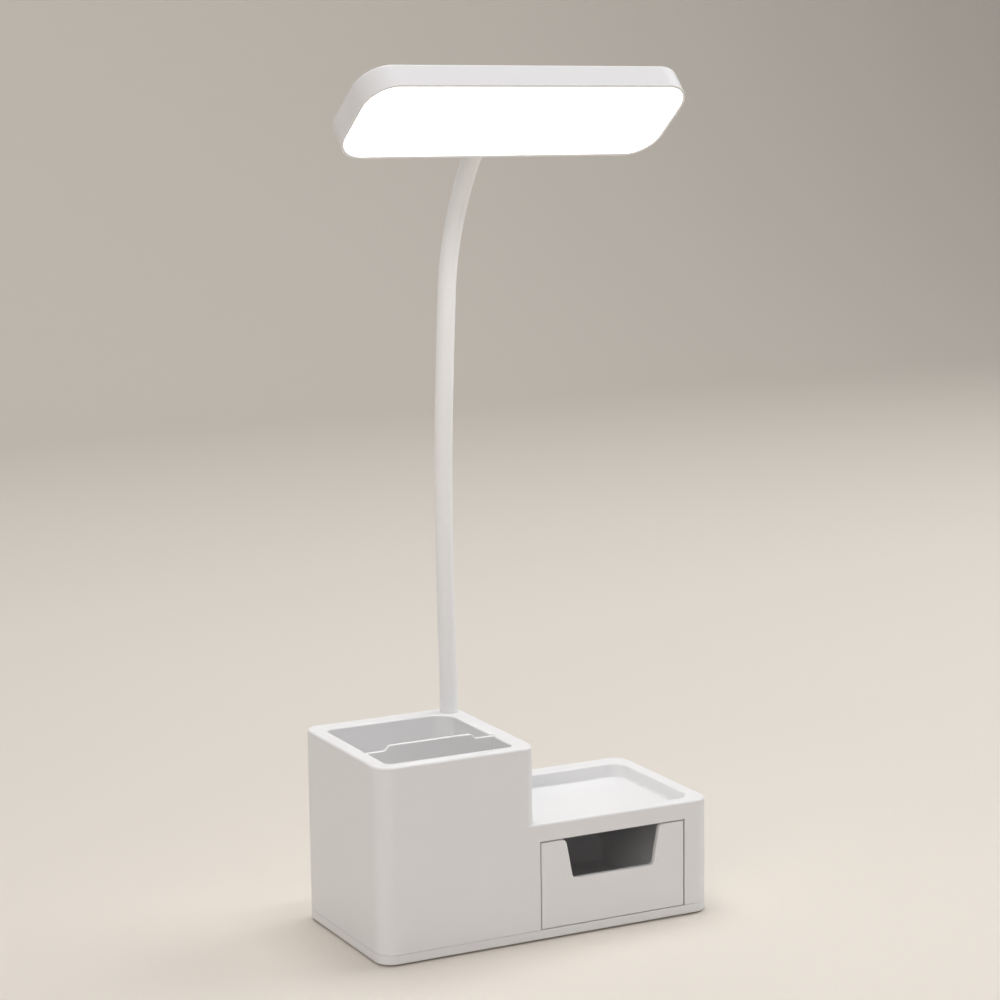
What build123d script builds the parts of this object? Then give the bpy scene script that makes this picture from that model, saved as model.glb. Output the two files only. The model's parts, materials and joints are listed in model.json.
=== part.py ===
from build123d import *
import math
import os

# Desk lamp on an organiser base: a pen cup with a lift-out divider, a small tray, a drawer
# under the tray, and a flat light panel on a bendable neck.
# Millimetres, +Z up. The origin lies on the table under the centre of the base, the drawer
# opens towards -Y and stands on the +X side. Heights named *_height count from the
# underside of the bottom cover, and names that end in _z are places in the part's frame.

os.makedirs("parts", exist_ok=True)

# ---------------------------------------------------------------- base, outside
base_length = 177.5
base_depth = 90.0
cup_width = 82.6
cup_height = 95.0
tray_height = 57.0
corner_radius = 8.6
rim_round = 1.2
foot_proud = 0.8
cover_height = 4.6
seam_gap = 0.15
wall = 2.0

# ---------------------------------------------------------------- pen cup and its divider
cup_rim_left = 7.5
cup_rim_right = 9.4
cup_rim_front = 7.0
cup_rim_back = 11.0
cup_floor_height = 42.0
cup_inner_radius = 3.0
inner_rim_round = 0.7
divider_from_front = 29.8
divider_thickness = 2.0
divider_tab_half = 21.5
divider_tab_rise = 2.4
divider_tab_run = 2.0
divider_tab_round = 2.3
divider_edge_round = 0.4
divider_groove = 1.5
divider_groove_flare = 1.4
divider_play = 0.15
divider_seat_gap = 0.1

# ---------------------------------------------------------------- tray and drawer
tray_rim = 7.2
tray_rim_back = 11.0
tray_floor = 1.75
tray_inner_radius = 8.0
tray_floor_round = 1.0
tray_edge_round = 0.8
bay_from_cup = 0.65
bay_strip_right = 14.75
drawer_back_space = 6.0
drawer_front_height = 42.7
drawer_front_thickness = 2.4
drawer_side_height = 37.0
drawer_wall = 1.8
drawer_inner_radius = 3.0
drawer_gap = 0.75
drawer_floor_gap = 0.3
drawer_edge_round = 0.5
notch_depth = 19.7
notch_top_inset = 13.3
notch_bottom_inset = 17.0
notch_bottom_round = 2.0
notch_top_round = 2.8
catch_width = 8.0
catch_inset = 3.0
stop_rib_drop = 2.2
stop_rib_thickness = 2.0
stop_rib_from_front = 14.0
stop_gap = 0.3
back_stop_thickness = 3.0
back_stop_height = 25.0
back_stop_inset = 14.1
rail_width = 3.0
rail_inset = 11.1

# ---------------------------------------------------------------- cover, feet and fasteners
cover_floor = 2.2
cover_edge_round = 0.8
foot_radius = 6.2
foot_recess = 1.0
foot_play = 0.1
foot_edge = 0.4
foot_inset_x = 21.0
foot_inset_y = 15.0
pillar_radius = 3.5
pillar_inset = 9.6
pillar_inner_x = 73.6
cover_boss_radius = 4.4
screw_radius = 1.1
screw_length = 11.0
screw_head_radius = 2.6
screw_head_height = 1.7
screw_play = 0.05
screw_head_play = 0.25
screw_recess = 2.0
socket_radius = 1.1
socket_depth = 1.0

# ---------------------------------------------------------------- ballast and battery
ballast_size = (36.0, 59.0, 6.0)
ballast_from_left = 5.0
ballast_screw_inset = 5.0
ballast_screw_end_inset = 12.5
ballast_screw_head_height = 1.1
ballast_screw_length = 6.0
cell_radius = 9.2
cell_length = 65.2
cell_play = 0.2
cell_cap_radius = 3.0
cell_cap_height = 0.8
holder_wall = 1.6
holder_from_left = 15.6
holder_lip_share = 0.6
contact_plate = (11.0, 0.5, 11.0)
contact_reach = 2.4
contact_radius = 3.2

# ---------------------------------------------------------------- electronics in the base
board_size = (35.0, 46.0, 1.6)
board_from_left = 44.0
board_back_gap = 2.4
board_height = 12.0
standoff_radius = 2.6
board_screw_inset = 3.2
board_screw_length = 5.0
board_screw_head_height = 1.2
usb_size = (8.94, 7.3, 3.26)
usb_corner = 1.4
usb_wall = 0.35
usb_tongue = (6.7, 5.0, 0.7)
usb_from_left = 68.2
usb_recess = 0.6
usb_play = 0.3
button_from_left = 54.6
button_above_board = 3.2
button_radius = 3.2
button_proud = 1.0
button_travel = 0.8
button_flange_radius = 4.1
button_flange = 1.2
button_flange_gap = 0.2
button_stem_radius = 1.5
button_stem = 4.0
button_play = 0.25
switch_size = (6.4, 3.6, 6.2)
switch_from_back = 5.6
light_from_left = 60.6
light_radius = 1.1
light_body = (2.4, 2.6, 4.4)
light_play = 0.1
connector_size = (6.0, 6.0, 6.2)
battery_plug_size = (6.0, 7.0, 5.2)
battery_plug_from_front = 60.0
battery_lead_radius = 1.1
chip_size = (9.0, 9.0, 1.4)
coil_radius = 3.6
coil_height = 4.0

# ---------------------------------------------------------------- neck
neck_inset_right = 6.7
neck_inset_back = 7.5
neck_yaw = 6.75
neck_radius = 4.4
core_radius = 3.2
core_bore = 1.7
core_play = 0.05
lead_radius = 1.5
post_radius = 9.2
post_blend = 7.0
post_play = 0.12
neck_root_depth = 25.0
shelf_thickness = 3.0
nut_pocket_depth = 7.0
nut_pocket_radius = 5.3
ferrule_flange_radius = 4.2
ferrule_flange = 1.5
ferrule_radius = 3.0
thread_play = 0.05
washer_radius = 4.9
washer_thickness = 0.8
nut_across_flats = 8.8
nut_thickness = 3.0
ferrule_tail = 1.2
# each stretch of the neck is an arc with a length and a forward turn in degrees
stretch_length = (33.0, 48.0, 52.0, 52.0, 42.5, 38.4)
stretch_turn = (-2.0, 1.6, 3.8, 1.4, 19.6, 16.6)
flex_length = 6.0
flex_gap = 0.1

# ---------------------------------------------------------------- head
head_length = 174.1
head_width = 50.3
head_thickness = 12.55
head_corner_radius = 15.1
head_edge_round = 1.3
head_wall = 1.2
head_back = 1.8
head_roll = 2.17
socket_pitch = 6.86
socket_entry_inset = -0.25
socket_entry_height = 4.05
socket_depth_neck = 20.0
socket_sleeve_depth = 7.0
socket_play = 0.1
hump_width = 15.6
hump_height = 12.6
hump_end_wall = 6.6
hump_rear_inset = 0.9
hump_root = 1.0
hump_round = 6.6
end_ferrule_radius = 4.4
lead_cavity_radius = 3.0
lead_cavity_reach = 8.0
lead_drop_radius = 2.6
lead_run_in = 4.7
lead_bend_radius = 3.6
lead_run_height = 8.4
head_lead_radius = 1.2
set_screw_radius = 1.5
set_screw_from_entry = 12.4
set_screw_length = 2.2
set_screw_gap = 0.35
diffuser_gap = 0.15
diffuser_thickness = 1.6
diffuser_recess = 0.2
diffuser_edge_round = 0.4
frame_width = 4.65
frame_height = 5.2
frame_screw_radius = 0.9
frame_screw_head_radius = 1.8
frame_screw_head_height = 1.2
frame_screw_length = 6.5
frame_boss_radius = 2.6
led_end_inset = 16.05
led_board_thickness = 1.0
led_board_height = 3.1
led_tab = (8.0, 7.9)
led_size = (3.5, 0.8, 2.2)
led_count = 24
guide_thickness = 3.0
guide_gap = 0.2
sheet_gap = 0.1
reflector_thickness = 0.4

# ---------------------------------------------------------------- places worked out from the sizes
left = -base_length / 2
right = base_length / 2
front = -base_depth / 2
back = base_depth / 2
cover_z = foot_proud
cover_top_z = cover_z + cover_height
seam_z = cover_top_z + seam_gap
cup_top_z = cover_z + cup_height
tray_top_z = cover_z + tray_height
cup_right = left + cup_width
cup_x = left + cup_width / 2
cup_floor_z = cover_z + cup_floor_height

well_left = left + cup_rim_left
well_right = cup_right - cup_rim_right
well_front = front + cup_rim_front
well_back = back - cup_rim_back
well_x = (well_left + well_right) / 2
well_y = (well_front + well_back) / 2
well_length = well_right - well_left
well_depth = well_back - well_front
divider_y = front + divider_from_front

bay_left = cup_right + bay_from_cup
bay_right = right - bay_strip_right
bay_x = (bay_left + bay_right) / 2
drawer_width = bay_right - bay_left - 2 * drawer_gap
drawer_depth = base_depth - wall - drawer_back_space
drawer_z = cover_top_z + drawer_floor_gap
drawer_back = front + drawer_depth
notch_top_half = drawer_width / 2 - notch_top_inset
notch_bottom_half = drawer_width / 2 - notch_bottom_inset
bay_top_z = drawer_z + drawer_front_height + drawer_gap
tray_floor_z = bay_top_z + tray_floor
stop_rib_y = front + stop_rib_from_front + stop_rib_thickness / 2
catch_x = drawer_width / 2 - catch_inset - catch_width / 2
catch_front = drawer_back - drawer_wall
drawer_travel = catch_front - (stop_rib_y + stop_rib_thickness / 2) - stop_gap

neck_x = cup_right - neck_inset_right
neck_y = back - neck_inset_back
shelf_top_z = cup_top_z - neck_root_depth
shelf_z = shelf_top_z - shelf_thickness
post_z = shelf_z - nut_pocket_depth

cover_floor_z = cover_z + cover_floor
pillar_places = [
    (left + pillar_inset, front + pillar_inset),
    (left + pillar_inset, back - pillar_inset),
    (left + pillar_inner_x, front + pillar_inset),
    (right - bay_strip_right / 2, front + pillar_inset),
    (right - bay_strip_right / 2, back - pillar_inset),
]
corner_foot_places = [
    (sx * (base_length / 2 - foot_inset_x), sy * (base_depth / 2 - foot_inset_y))
    for sx in (-1, 1)
    for sy in (-1, 1)
]
foot_places = [*corner_foot_places, (0, 0)]
screw_seat_z = cover_z + screw_recess

ballast_x = left + ballast_from_left + ballast_size[0] / 2
ballast_top_z = cover_floor_z + ballast_size[2]
ballast_screw_x = left + ballast_from_left + ballast_screw_inset
ballast_screw_y = ballast_size[1] / 2 - ballast_screw_end_inset
ballast_screw_places = [(ballast_screw_x, -ballast_screw_y), (ballast_screw_x, ballast_screw_y)]

board_x = left + board_from_left + board_size[0] / 2
board_back = back - wall - board_back_gap
board_y = board_back - board_size[1] / 2
board_z = cover_z + board_height
board_top_z = board_z + board_size[2]
board_screw_places = [
    (left + board_from_left + board_screw_inset, board_back - board_size[1] + board_screw_inset),
    (left + board_from_left + board_size[0] - board_screw_inset,
     board_back - board_size[1] + board_screw_inset),
    (left + board_from_left + board_screw_inset, board_back - board_screw_inset),
]
usb_x = left + usb_from_left
usb_z = board_top_z + usb_size[2] / 2
usb_back = back - usb_recess
button_x = left + button_from_left
button_z = board_top_z + button_above_board
light_x = left + light_from_left


def rounded_block(width, depth, low_z, top_z, x=0.0, radius=corner_radius, top_round=rim_round):
    """An upright block with rounded corners and a rounded top edge."""
    with BuildPart() as block:
        with BuildSketch(Plane.XY.offset(low_z)):
            with Locations((x, 0)):
                RectangleRounded(width, depth, radius)
        extrude(amount=top_z - low_z)
        fillet(block.faces().sort_by(Axis.Z)[-1].edges(), radius=top_round)
    return block.part


def save(piece, name):
    """Names a finished piece and writes it."""
    piece.label = name
    export_step(piece, f"parts/{name}.step")


# ================================================================ upper housing
tray_block_length = base_length - cup_width / 2
low_form = rounded_block(
    tray_block_length, base_depth, seam_z, tray_top_z, x=right - tray_block_length / 2
)
cup_form = rounded_block(cup_width, base_depth, seam_z, cup_top_z, x=cup_x)

# the hollow under the skin: everything between the outer walls that isn't a wall, post or rib
with BuildPart() as hollow:
    with BuildSketch(Plane.XY.offset(seam_z)):
        RectangleRounded(base_length - 2 * wall, base_depth - 2 * wall, corner_radius - wall)
    extrude(amount=tray_top_z - wall - seam_z)
    with BuildSketch(Plane.XY.offset(seam_z)):
        with Locations((cup_x, 0)):
            RectangleRounded(cup_width - 2 * wall, base_depth - 2 * wall, corner_radius - wall)
    extrude(amount=cup_top_z - wall - seam_z)
    # pen cup walls and floor
    with BuildSketch(Plane.XY.offset(cup_floor_z - wall)):
        with Locations((well_x, well_y)):
            RectangleRounded(well_length + 2 * wall, well_depth + 2 * wall, cup_inner_radius + wall)
    extrude(amount=cup_top_z - cup_floor_z + wall, mode=Mode.SUBTRACT)
    # neck post
    with BuildSketch(Plane.XY.offset(post_z)):
        with Locations((neck_x, neck_y)):
            Circle(post_radius)
    extrude(amount=cup_top_z - post_z, mode=Mode.SUBTRACT)
    # walls on both sides of the drawer bay
    for low_x, high_x in ((cup_right - wall, bay_left), (bay_right, bay_right + wall)):
        with BuildSketch(Plane.XY.offset(seam_z)):
            with Locations(((low_x + high_x) / 2, 0)):
                Rectangle(high_x - low_x, base_depth)
        extrude(amount=tray_top_z - seam_z, mode=Mode.SUBTRACT)
    # tray floor and tray walls
    with BuildSketch(Plane.XY.offset(bay_top_z)):
        tray_right = right - tray_rim + wall
        tray_front = front + tray_rim - wall
        tray_back = back - tray_rim_back + wall
        with Locations(((bay_left + tray_right) / 2, (tray_front + tray_back) / 2)):
            Rectangle(tray_right - bay_left, tray_back - tray_front)
    extrude(amount=tray_top_z - bay_top_z, mode=Mode.SUBTRACT)
    # screw pillars
    with BuildSketch(Plane.XY.offset(seam_z)):
        with Locations(*pillar_places):
            Circle(pillar_radius)
    extrude(amount=tray_top_z - seam_z, mode=Mode.SUBTRACT)
    # ribs behind the drawer, and the ribs in the bay's roof that its catches meet when it is open
    with BuildSketch(Plane.XY.offset(seam_z)):
        with Locations((bay_x, (drawer_back + stop_gap + back) / 2)):
            with GridLocations(drawer_width - 2 * back_stop_inset, 0, 2, 1):
                Rectangle(back_stop_thickness, back - drawer_back - stop_gap)
    extrude(amount=back_stop_height, mode=Mode.SUBTRACT)
    with BuildSketch(Plane.XY.offset(bay_top_z - stop_rib_drop)):
        with Locations((bay_x, stop_rib_y)):
            with GridLocations(2 * catch_x, 0, 2, 1):
                Rectangle(catch_width, stop_rib_thickness)
    extrude(amount=stop_rib_drop, mode=Mode.SUBTRACT)

with BuildPart() as cup_space:
    with BuildSketch(Plane.XY.offset(cup_floor_z)) as well_outline:
        with Locations((well_x, well_y)):
            RectangleRounded(well_length, well_depth, cup_inner_radius)
        with Locations((neck_x, neck_y)):
            Circle(post_radius, mode=Mode.SUBTRACT)
        post_joints = well_outline.vertices().sort_by_distance((neck_x, neck_y))[:2]
        fillet(post_joints, radius=post_blend)
    extrude(amount=cup_top_z - cup_floor_z)

with BuildPart() as tray_space:
    with BuildSketch(Plane.XY.offset(tray_floor_z)):
        recess_left = cup_right - 2 * tray_inner_radius
        recess_right = right - tray_rim
        recess_front = front + tray_rim
        recess_back = back - tray_rim_back
        with Locations(((recess_left + recess_right) / 2, (recess_front + recess_back) / 2)):
            RectangleRounded(
                recess_right - recess_left, recess_back - recess_front, tray_inner_radius
            )
    extrude(amount=tray_top_z - tray_floor_z)
    fillet(tray_space.faces().sort_by(Axis.Z)[0].edges(), radius=tray_floor_round)
    add(cup_form, mode=Mode.SUBTRACT)

with BuildPart() as upper_housing:
    add(low_form)
    add(cup_form)
    add(hollow.part, mode=Mode.SUBTRACT)
    add(cup_space.part, mode=Mode.SUBTRACT)
    add(tray_space.part, mode=Mode.SUBTRACT)
    # soft edges round the mouths of the cup and of the tray
    cup_mouth = (
        upper_housing.edges()
        .filter_by_position(Axis.Z, cup_top_z, cup_top_z)
        .filter_by_position(Axis.X, well_left, well_right)
        .filter_by_position(Axis.Y, well_front, well_back)
    )
    fillet(cup_mouth, radius=inner_rim_round)
    tray_mouth = (
        upper_housing.edges()
        .filter_by_position(Axis.Z, tray_top_z, tray_top_z)
        .filter_by_position(Axis.X, cup_right, recess_right)
        .filter_by_position(Axis.Y, recess_front, recess_back)
    )
    fillet(tray_mouth, radius=tray_edge_round)
    # drawer opening in the front wall
    with BuildSketch(Plane.XZ.offset(-front)):
        with Locations((bay_x, (seam_z + bay_top_z) / 2)):
            Rectangle(bay_right - bay_left, bay_top_z - seam_z)
    extrude(amount=-wall, mode=Mode.SUBTRACT)
    # grooves for the divider's ends, flared where they open into the cup
    groove_half = divider_thickness / 2 + divider_play
    groove_reach = well_length / 2 + divider_groove
    flare_start = well_length / 2 + divider_groove - divider_groove_flare
    with BuildSketch(Plane.XY.offset(cup_floor_z)):
        with Locations((well_x, divider_y)):
            Rectangle(2 * groove_reach, 2 * groove_half)
            for side in (-1, 1):
                Polygon(
                    (side * (flare_start + divider_groove_flare), groove_half),
                    (side * flare_start, groove_half + divider_groove_flare),
                    (side * flare_start, -groove_half - divider_groove_flare),
                    (side * (flare_start + divider_groove_flare), -groove_half),
                    align=None,
                )
    extrude(amount=cup_top_z - cup_floor_z, mode=Mode.SUBTRACT)
    # socket for the neck, the hole in its shelf and the pocket for its nut
    with BuildSketch(Plane.XY.offset(shelf_top_z)):
        with Locations((neck_x, neck_y)):
            Circle(neck_radius + post_play)
    extrude(amount=neck_root_depth, mode=Mode.SUBTRACT)
    with BuildSketch(Plane.XY.offset(post_z)):
        with Locations((neck_x, neck_y)):
            Circle(nut_pocket_radius)
    extrude(amount=nut_pocket_depth, mode=Mode.SUBTRACT)
    with BuildSketch(Plane.XY.offset(shelf_z)):
        with Locations((neck_x, neck_y)):
            Circle(ferrule_radius + post_play)
    extrude(amount=shelf_thickness, mode=Mode.SUBTRACT)
    # pilot holes in the screw pillars
    with BuildSketch(Plane.XY.offset(seam_z)):
        with Locations(*pillar_places):
            Circle(screw_radius + screw_play)
    extrude(amount=screw_length, mode=Mode.SUBTRACT)
    # holes in the back wall for the charging socket, the button and the indicator
    with BuildSketch(Plane.XZ.offset(-back)):
        with Locations((usb_x, usb_z)):
            RectangleRounded(
                usb_size[0] + 2 * usb_play, usb_size[2] + 2 * usb_play, usb_corner + usb_play
            )
        with Locations((button_x, button_z)):
            Circle(button_radius + button_play)
        with Locations((light_x, button_z)):
            Circle(light_radius + light_play)
    extrude(amount=wall, mode=Mode.SUBTRACT)
save(upper_housing.part, "upper_housing")

# ================================================================ bottom cover, feet, screws
with BuildPart() as bottom_cover:
    with BuildSketch(Plane.XY.offset(cover_z)):
        RectangleRounded(base_length, base_depth, corner_radius)
    extrude(amount=cover_height)
    fillet(bottom_cover.faces().sort_by(Axis.Z)[0].edges(), radius=cover_edge_round)
    with BuildSketch(Plane.XY.offset(cover_floor_z)):
        RectangleRounded(base_length - 2 * wall, base_depth - 2 * wall, corner_radius - wall)
    extrude(amount=cover_height, mode=Mode.SUBTRACT)
    # bosses that carry the pillars of the housing
    with BuildSketch(Plane.XY.offset(cover_floor_z)):
        with Locations(*pillar_places):
            Circle(cover_boss_radius)
    extrude(amount=seam_z - cover_floor_z)
    # rails under the drawer
    with BuildSketch(Plane.XY.offset(cover_floor_z)):
        with Locations((bay_x, front + drawer_depth / 2)):
            with GridLocations(drawer_width - 2 * rail_inset, 0, 2, 1):
                Rectangle(rail_width, drawer_depth - 2 * wall)
    extrude(amount=cover_top_z - cover_floor_z)
    # stand-offs under the control board
    with BuildSketch(Plane.XY.offset(cover_floor_z)):
        with Locations(*board_screw_places):
            Circle(standoff_radius)
    extrude(amount=board_z - cover_floor_z)
    # screw holes with their recesses, ballast screw holes, board screw holes, foot pockets
    with BuildSketch(Plane.XY.offset(cover_z)):
        with Locations(*pillar_places):
            Circle(screw_radius + screw_head_play)
    extrude(amount=seam_z - cover_z, mode=Mode.SUBTRACT)
    with BuildSketch(Plane.XY.offset(cover_z)):
        with Locations(*pillar_places):
            Circle(screw_head_radius + screw_head_play)
    extrude(amount=screw_recess, mode=Mode.SUBTRACT)
    with BuildSketch(Plane.XY.offset(cover_z)):
        with Locations(*ballast_screw_places):
            Circle(screw_radius + screw_head_play)
    extrude(amount=cover_floor, mode=Mode.SUBTRACT)
    with BuildSketch(Plane.XY.offset(cover_z)):
        with Locations(*ballast_screw_places):
            Circle(screw_head_radius + screw_head_play)
    extrude(amount=ballast_screw_head_height, mode=Mode.SUBTRACT)
    with BuildSketch(Plane.XY.offset(board_z)):
        with Locations(*board_screw_places):
            Circle(screw_radius + screw_play)
    extrude(amount=-board_screw_length, mode=Mode.SUBTRACT)
    with BuildSketch(Plane.XY.offset(cover_z)):
        with Locations(*foot_places):
            Circle(foot_radius + foot_play)
    extrude(amount=foot_recess, mode=Mode.SUBTRACT)
save(bottom_cover.part, "bottom_cover")

with BuildPart() as rubber_feet:
    with BuildSketch():
        with Locations(*foot_places):
            Circle(foot_radius)
    extrude(amount=foot_proud + foot_recess)
    chamfer(rubber_feet.edges().group_by(Axis.Z)[0], length=foot_edge)
save(rubber_feet.part, "rubber_feet")


def pan_screws(places, seat_z, head_radius, head_height, radius, length, direction=1):
    """Screws on upright axes: heads against seat_z, shanks going up (1) or down (-1) from it."""
    with BuildPart() as screws:
        with BuildSketch(Plane.XY.offset(seat_z)):
            with Locations(*places):
                Circle(head_radius)
        extrude(amount=-direction * head_height)
        with BuildSketch(Plane.XY.offset(seat_z)):
            with Locations(*places):
                Circle(radius)
        extrude(amount=direction * length)
        with BuildSketch(Plane.XY.offset(seat_z - direction * head_height)):
            with Locations(*places):
                RegularPolygon(socket_radius, 6)
        extrude(amount=direction * min(socket_depth, head_height / 2), mode=Mode.SUBTRACT)
    return screws.part


cover_screw_shank = screw_length + seam_z - screw_seat_z - socket_depth
cover_screws = pan_screws(
    pillar_places, screw_seat_z, screw_head_radius, screw_head_height, screw_radius, cover_screw_shank
)
save(cover_screws, "cover_screws")

# ================================================================ pen divider
divider_length = well_length + 2 * (divider_groove - divider_play)
divider_low_z = cup_floor_z + divider_seat_gap
with BuildPart() as pen_divider:
    with BuildSketch(Plane.XZ.offset(-divider_y - divider_thickness / 2)) as divider_face:
        with BuildLine():
            half = divider_length / 2
            tab_top_z = cup_top_z + divider_tab_rise
            Polyline(
                (well_x - half, divider_low_z),
                (well_x + half, divider_low_z),
                (well_x + half, cup_top_z),
                (well_x + divider_tab_half + divider_tab_run, cup_top_z),
                (well_x + divider_tab_half, tab_top_z),
                (well_x - divider_tab_half, tab_top_z),
                (well_x - divider_tab_half - divider_tab_run, cup_top_z),
                (well_x - half, cup_top_z),
                close=True,
            )
        make_face()
        tab_corners = divider_face.vertices().filter_by_position(
            Axis.X, well_x - divider_tab_half - divider_tab_run - 0.5 * divider_tab_run,
            well_x + divider_tab_half + divider_tab_run + 0.5 * divider_tab_run
        )
        fillet(tab_corners, radius=divider_tab_round)
    extrude(amount=divider_thickness)
    top_edges = (
        pen_divider.faces()
        .filter_by_position(Axis.Z, cup_top_z - divider_edge_round, tab_top_z)
        .edges()
        .filter_by(lambda edge: abs(edge.center().Y - divider_y) > divider_thickness / 4)
    )
    fillet(top_edges, radius=divider_edge_round)
save(pen_divider.part, "pen_divider")

# ================================================================ drawer
with BuildPart() as drawer:
    drawer_y = front + drawer_depth / 2
    with BuildSketch(Plane.XY.offset(drawer_z)):
        with Locations((bay_x, drawer_y)):
            Rectangle(drawer_width, drawer_depth)
    extrude(amount=drawer_side_height)
    with BuildSketch(Plane.XZ.offset(-front)):
        with Locations((bay_x, drawer_z + drawer_front_height / 2)):
            Rectangle(drawer_width, drawer_front_height)
    extrude(amount=-drawer_front_thickness)
    # inside
    with BuildSketch(Plane.XY.offset(drawer_z + drawer_wall)):
        inner_front = front + drawer_front_thickness
        inner_back = drawer_back - drawer_wall
        with Locations((bay_x, (inner_front + inner_back) / 2)):
            RectangleRounded(
                drawer_width - 2 * drawer_wall, inner_back - inner_front, drawer_inner_radius
            )
    extrude(amount=drawer_front_height, mode=Mode.SUBTRACT)
    # catches on the back wall that stop the open drawer
    with BuildSketch(Plane.XY.offset(drawer_z + drawer_side_height)):
        with Locations((bay_x, drawer_back - drawer_wall / 2)):
            with GridLocations(2 * catch_x, 0, 2, 1):
                Rectangle(catch_width, drawer_wall)
    extrude(amount=drawer_front_height - drawer_side_height)
    # finger notch
    with BuildSketch(Plane.XZ.offset(-front)) as notch:
        with BuildLine():
            notch_top_z = drawer_z + drawer_front_height
            notch_low_z = notch_top_z - notch_depth
            notch_reach = notch_top_half + 2 * notch_top_round
            Polyline(
                (bay_x - notch_reach, notch_top_z),
                (bay_x - notch_top_half, notch_top_z),
                (bay_x - notch_bottom_half, notch_low_z),
                (bay_x + notch_bottom_half, notch_low_z),
                (bay_x + notch_top_half, notch_top_z),
                (bay_x + notch_reach, notch_top_z),
                (bay_x + notch_reach, notch_top_z + notch_top_round),
                (bay_x - notch_reach, notch_top_z + notch_top_round),
                close=True,
            )
        make_face()
        notch_corners = notch.vertices().group_by(Axis.Y)
        fillet(notch_corners[0], radius=notch_bottom_round)
        notch_lips = notch.vertices().filter_by_position(Axis.Y, notch_top_z, notch_top_z)
        fillet(notch_lips.sort_by(Axis.X)[1:-1], radius=notch_top_round)
    extrude(amount=-drawer_front_thickness, mode=Mode.SUBTRACT)
    fillet(drawer.faces().sort_by(Axis.Y)[0].edges(), radius=drawer_edge_round)
save(drawer.part, "drawer")

# ================================================================ ballast
with BuildPart() as ballast_plate:
    with BuildSketch(Plane.XY.offset(cover_floor_z)):
        with Locations((ballast_x, 0)):
            Rectangle(ballast_size[0], ballast_size[1])
        with Locations(*ballast_screw_places):
            Circle(screw_radius + screw_play, mode=Mode.SUBTRACT)
    extrude(amount=ballast_size[2])
save(ballast_plate.part, "ballast_plate")

ballast_screws = pan_screws(
    ballast_screw_places, cover_z + ballast_screw_head_height, screw_head_radius,
    ballast_screw_head_height, screw_radius, ballast_screw_length
)
save(ballast_screws, "ballast_screws")

# ================================================================ battery
holder_width = 2 * (cell_radius + cell_play + holder_wall)
holder_length = cell_length + 2 * (contact_reach + contact_plate[1] + holder_wall)
holder_x = left + holder_from_left + holder_width / 2
cell_z = ballast_top_z + holder_wall + cell_play + cell_radius
holder_top_z = cell_z + holder_lip_share * cell_radius
with BuildPart() as battery_holder:
    with BuildSketch(Plane.XY.offset(ballast_top_z)):
        with Locations((holder_x, 0)):
            Rectangle(holder_width, holder_length)
    extrude(amount=holder_top_z - ballast_top_z)
    with BuildSketch(Plane.XY.offset(ballast_top_z + holder_wall)):
        with Locations((holder_x, 0)):
            Rectangle(holder_width - 2 * holder_wall, holder_length - 2 * holder_wall)
    extrude(amount=holder_top_z - ballast_top_z, mode=Mode.SUBTRACT)
save(battery_holder.part, "battery_holder")

with BuildPart() as battery_cell:
    with BuildSketch(Plane.XZ.offset(cell_length / 2)):
        with Locations((holder_x, cell_z)):
            Circle(cell_radius)
    extrude(amount=-(cell_length - cell_cap_height))
    fillet(battery_cell.edges(), radius=cell_cap_height)
    with BuildSketch(Plane.XZ.offset(-cell_length / 2 + cell_cap_height)):
        with Locations((holder_x, cell_z)):
            Circle(cell_cap_radius)
    extrude(amount=-cell_cap_height)
save(battery_cell.part, "battery_cell")

with BuildPart() as battery_contacts:
    for side in (-1, 1):
        inner_face = side * (holder_length / 2 - holder_wall)
        with BuildSketch(Plane.XZ.offset(-inner_face)):
            with Locations((holder_x, cell_z)):
                Rectangle(contact_plate[0], contact_plate[2])
        extrude(amount=side * contact_plate[1])
        with BuildSketch(Plane.XZ.offset(-inner_face + side * contact_plate[1])):
            with Locations((holder_x, cell_z)):
                Circle(contact_radius)
        extrude(amount=side * (contact_reach - flex_gap))
save(battery_contacts.part, "battery_contacts")

# ================================================================ control board and what it carries
with BuildPart() as control_board:
    with BuildSketch(Plane.XY.offset(board_z)):
        with Locations((board_x, board_y)):
            Rectangle(board_size[0], board_size[1])
        with Locations(*board_screw_places):
            Circle(screw_radius + screw_head_play, mode=Mode.SUBTRACT)
    extrude(amount=board_size[2])
save(control_board.part, "control_board")

board_screws = pan_screws(
    board_screw_places, board_top_z, screw_head_radius, board_screw_head_height, screw_radius,
    board_size[2] + board_screw_length - socket_depth, direction=-1
)
save(board_screws, "board_screws")

with BuildPart() as board_components:
    with BuildSketch(Plane.XY.offset(board_top_z)):
        with Locations((board_x, board_y - chip_size[1] / 2)):
            Rectangle(chip_size[0], chip_size[1])
    extrude(amount=chip_size[2])
    with BuildSketch(Plane.XY.offset(board_top_z)):
        with Locations((board_x + chip_size[0], board_y - 2 * coil_radius - chip_size[1] / 2)):
            Circle(coil_radius)
    extrude(amount=coil_height)
save(board_components.part, "board_components")

with BuildPart() as usb_socket:
    with BuildSketch(Plane.XZ.offset(-usb_back)):
        with Locations((usb_x, usb_z)):
            RectangleRounded(usb_size[0], usb_size[2], usb_corner)
    extrude(amount=usb_size[1])
    with BuildSketch(Plane.XZ.offset(-usb_back)):
        with Locations((usb_x, usb_z)):
            RectangleRounded(
                usb_size[0] - 2 * usb_wall, usb_size[2] - 2 * usb_wall, usb_corner - usb_wall
            )
    extrude(amount=usb_size[1] - wall, mode=Mode.SUBTRACT)
    with BuildSketch(Plane.XZ.offset(-usb_back + usb_size[1] - wall)):
        with Locations((usb_x, usb_z)):
            Rectangle(usb_tongue[0], usb_tongue[2])
    extrude(amount=-(usb_tongue[1] - usb_recess))
save(usb_socket.part, "usb_socket")

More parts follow.
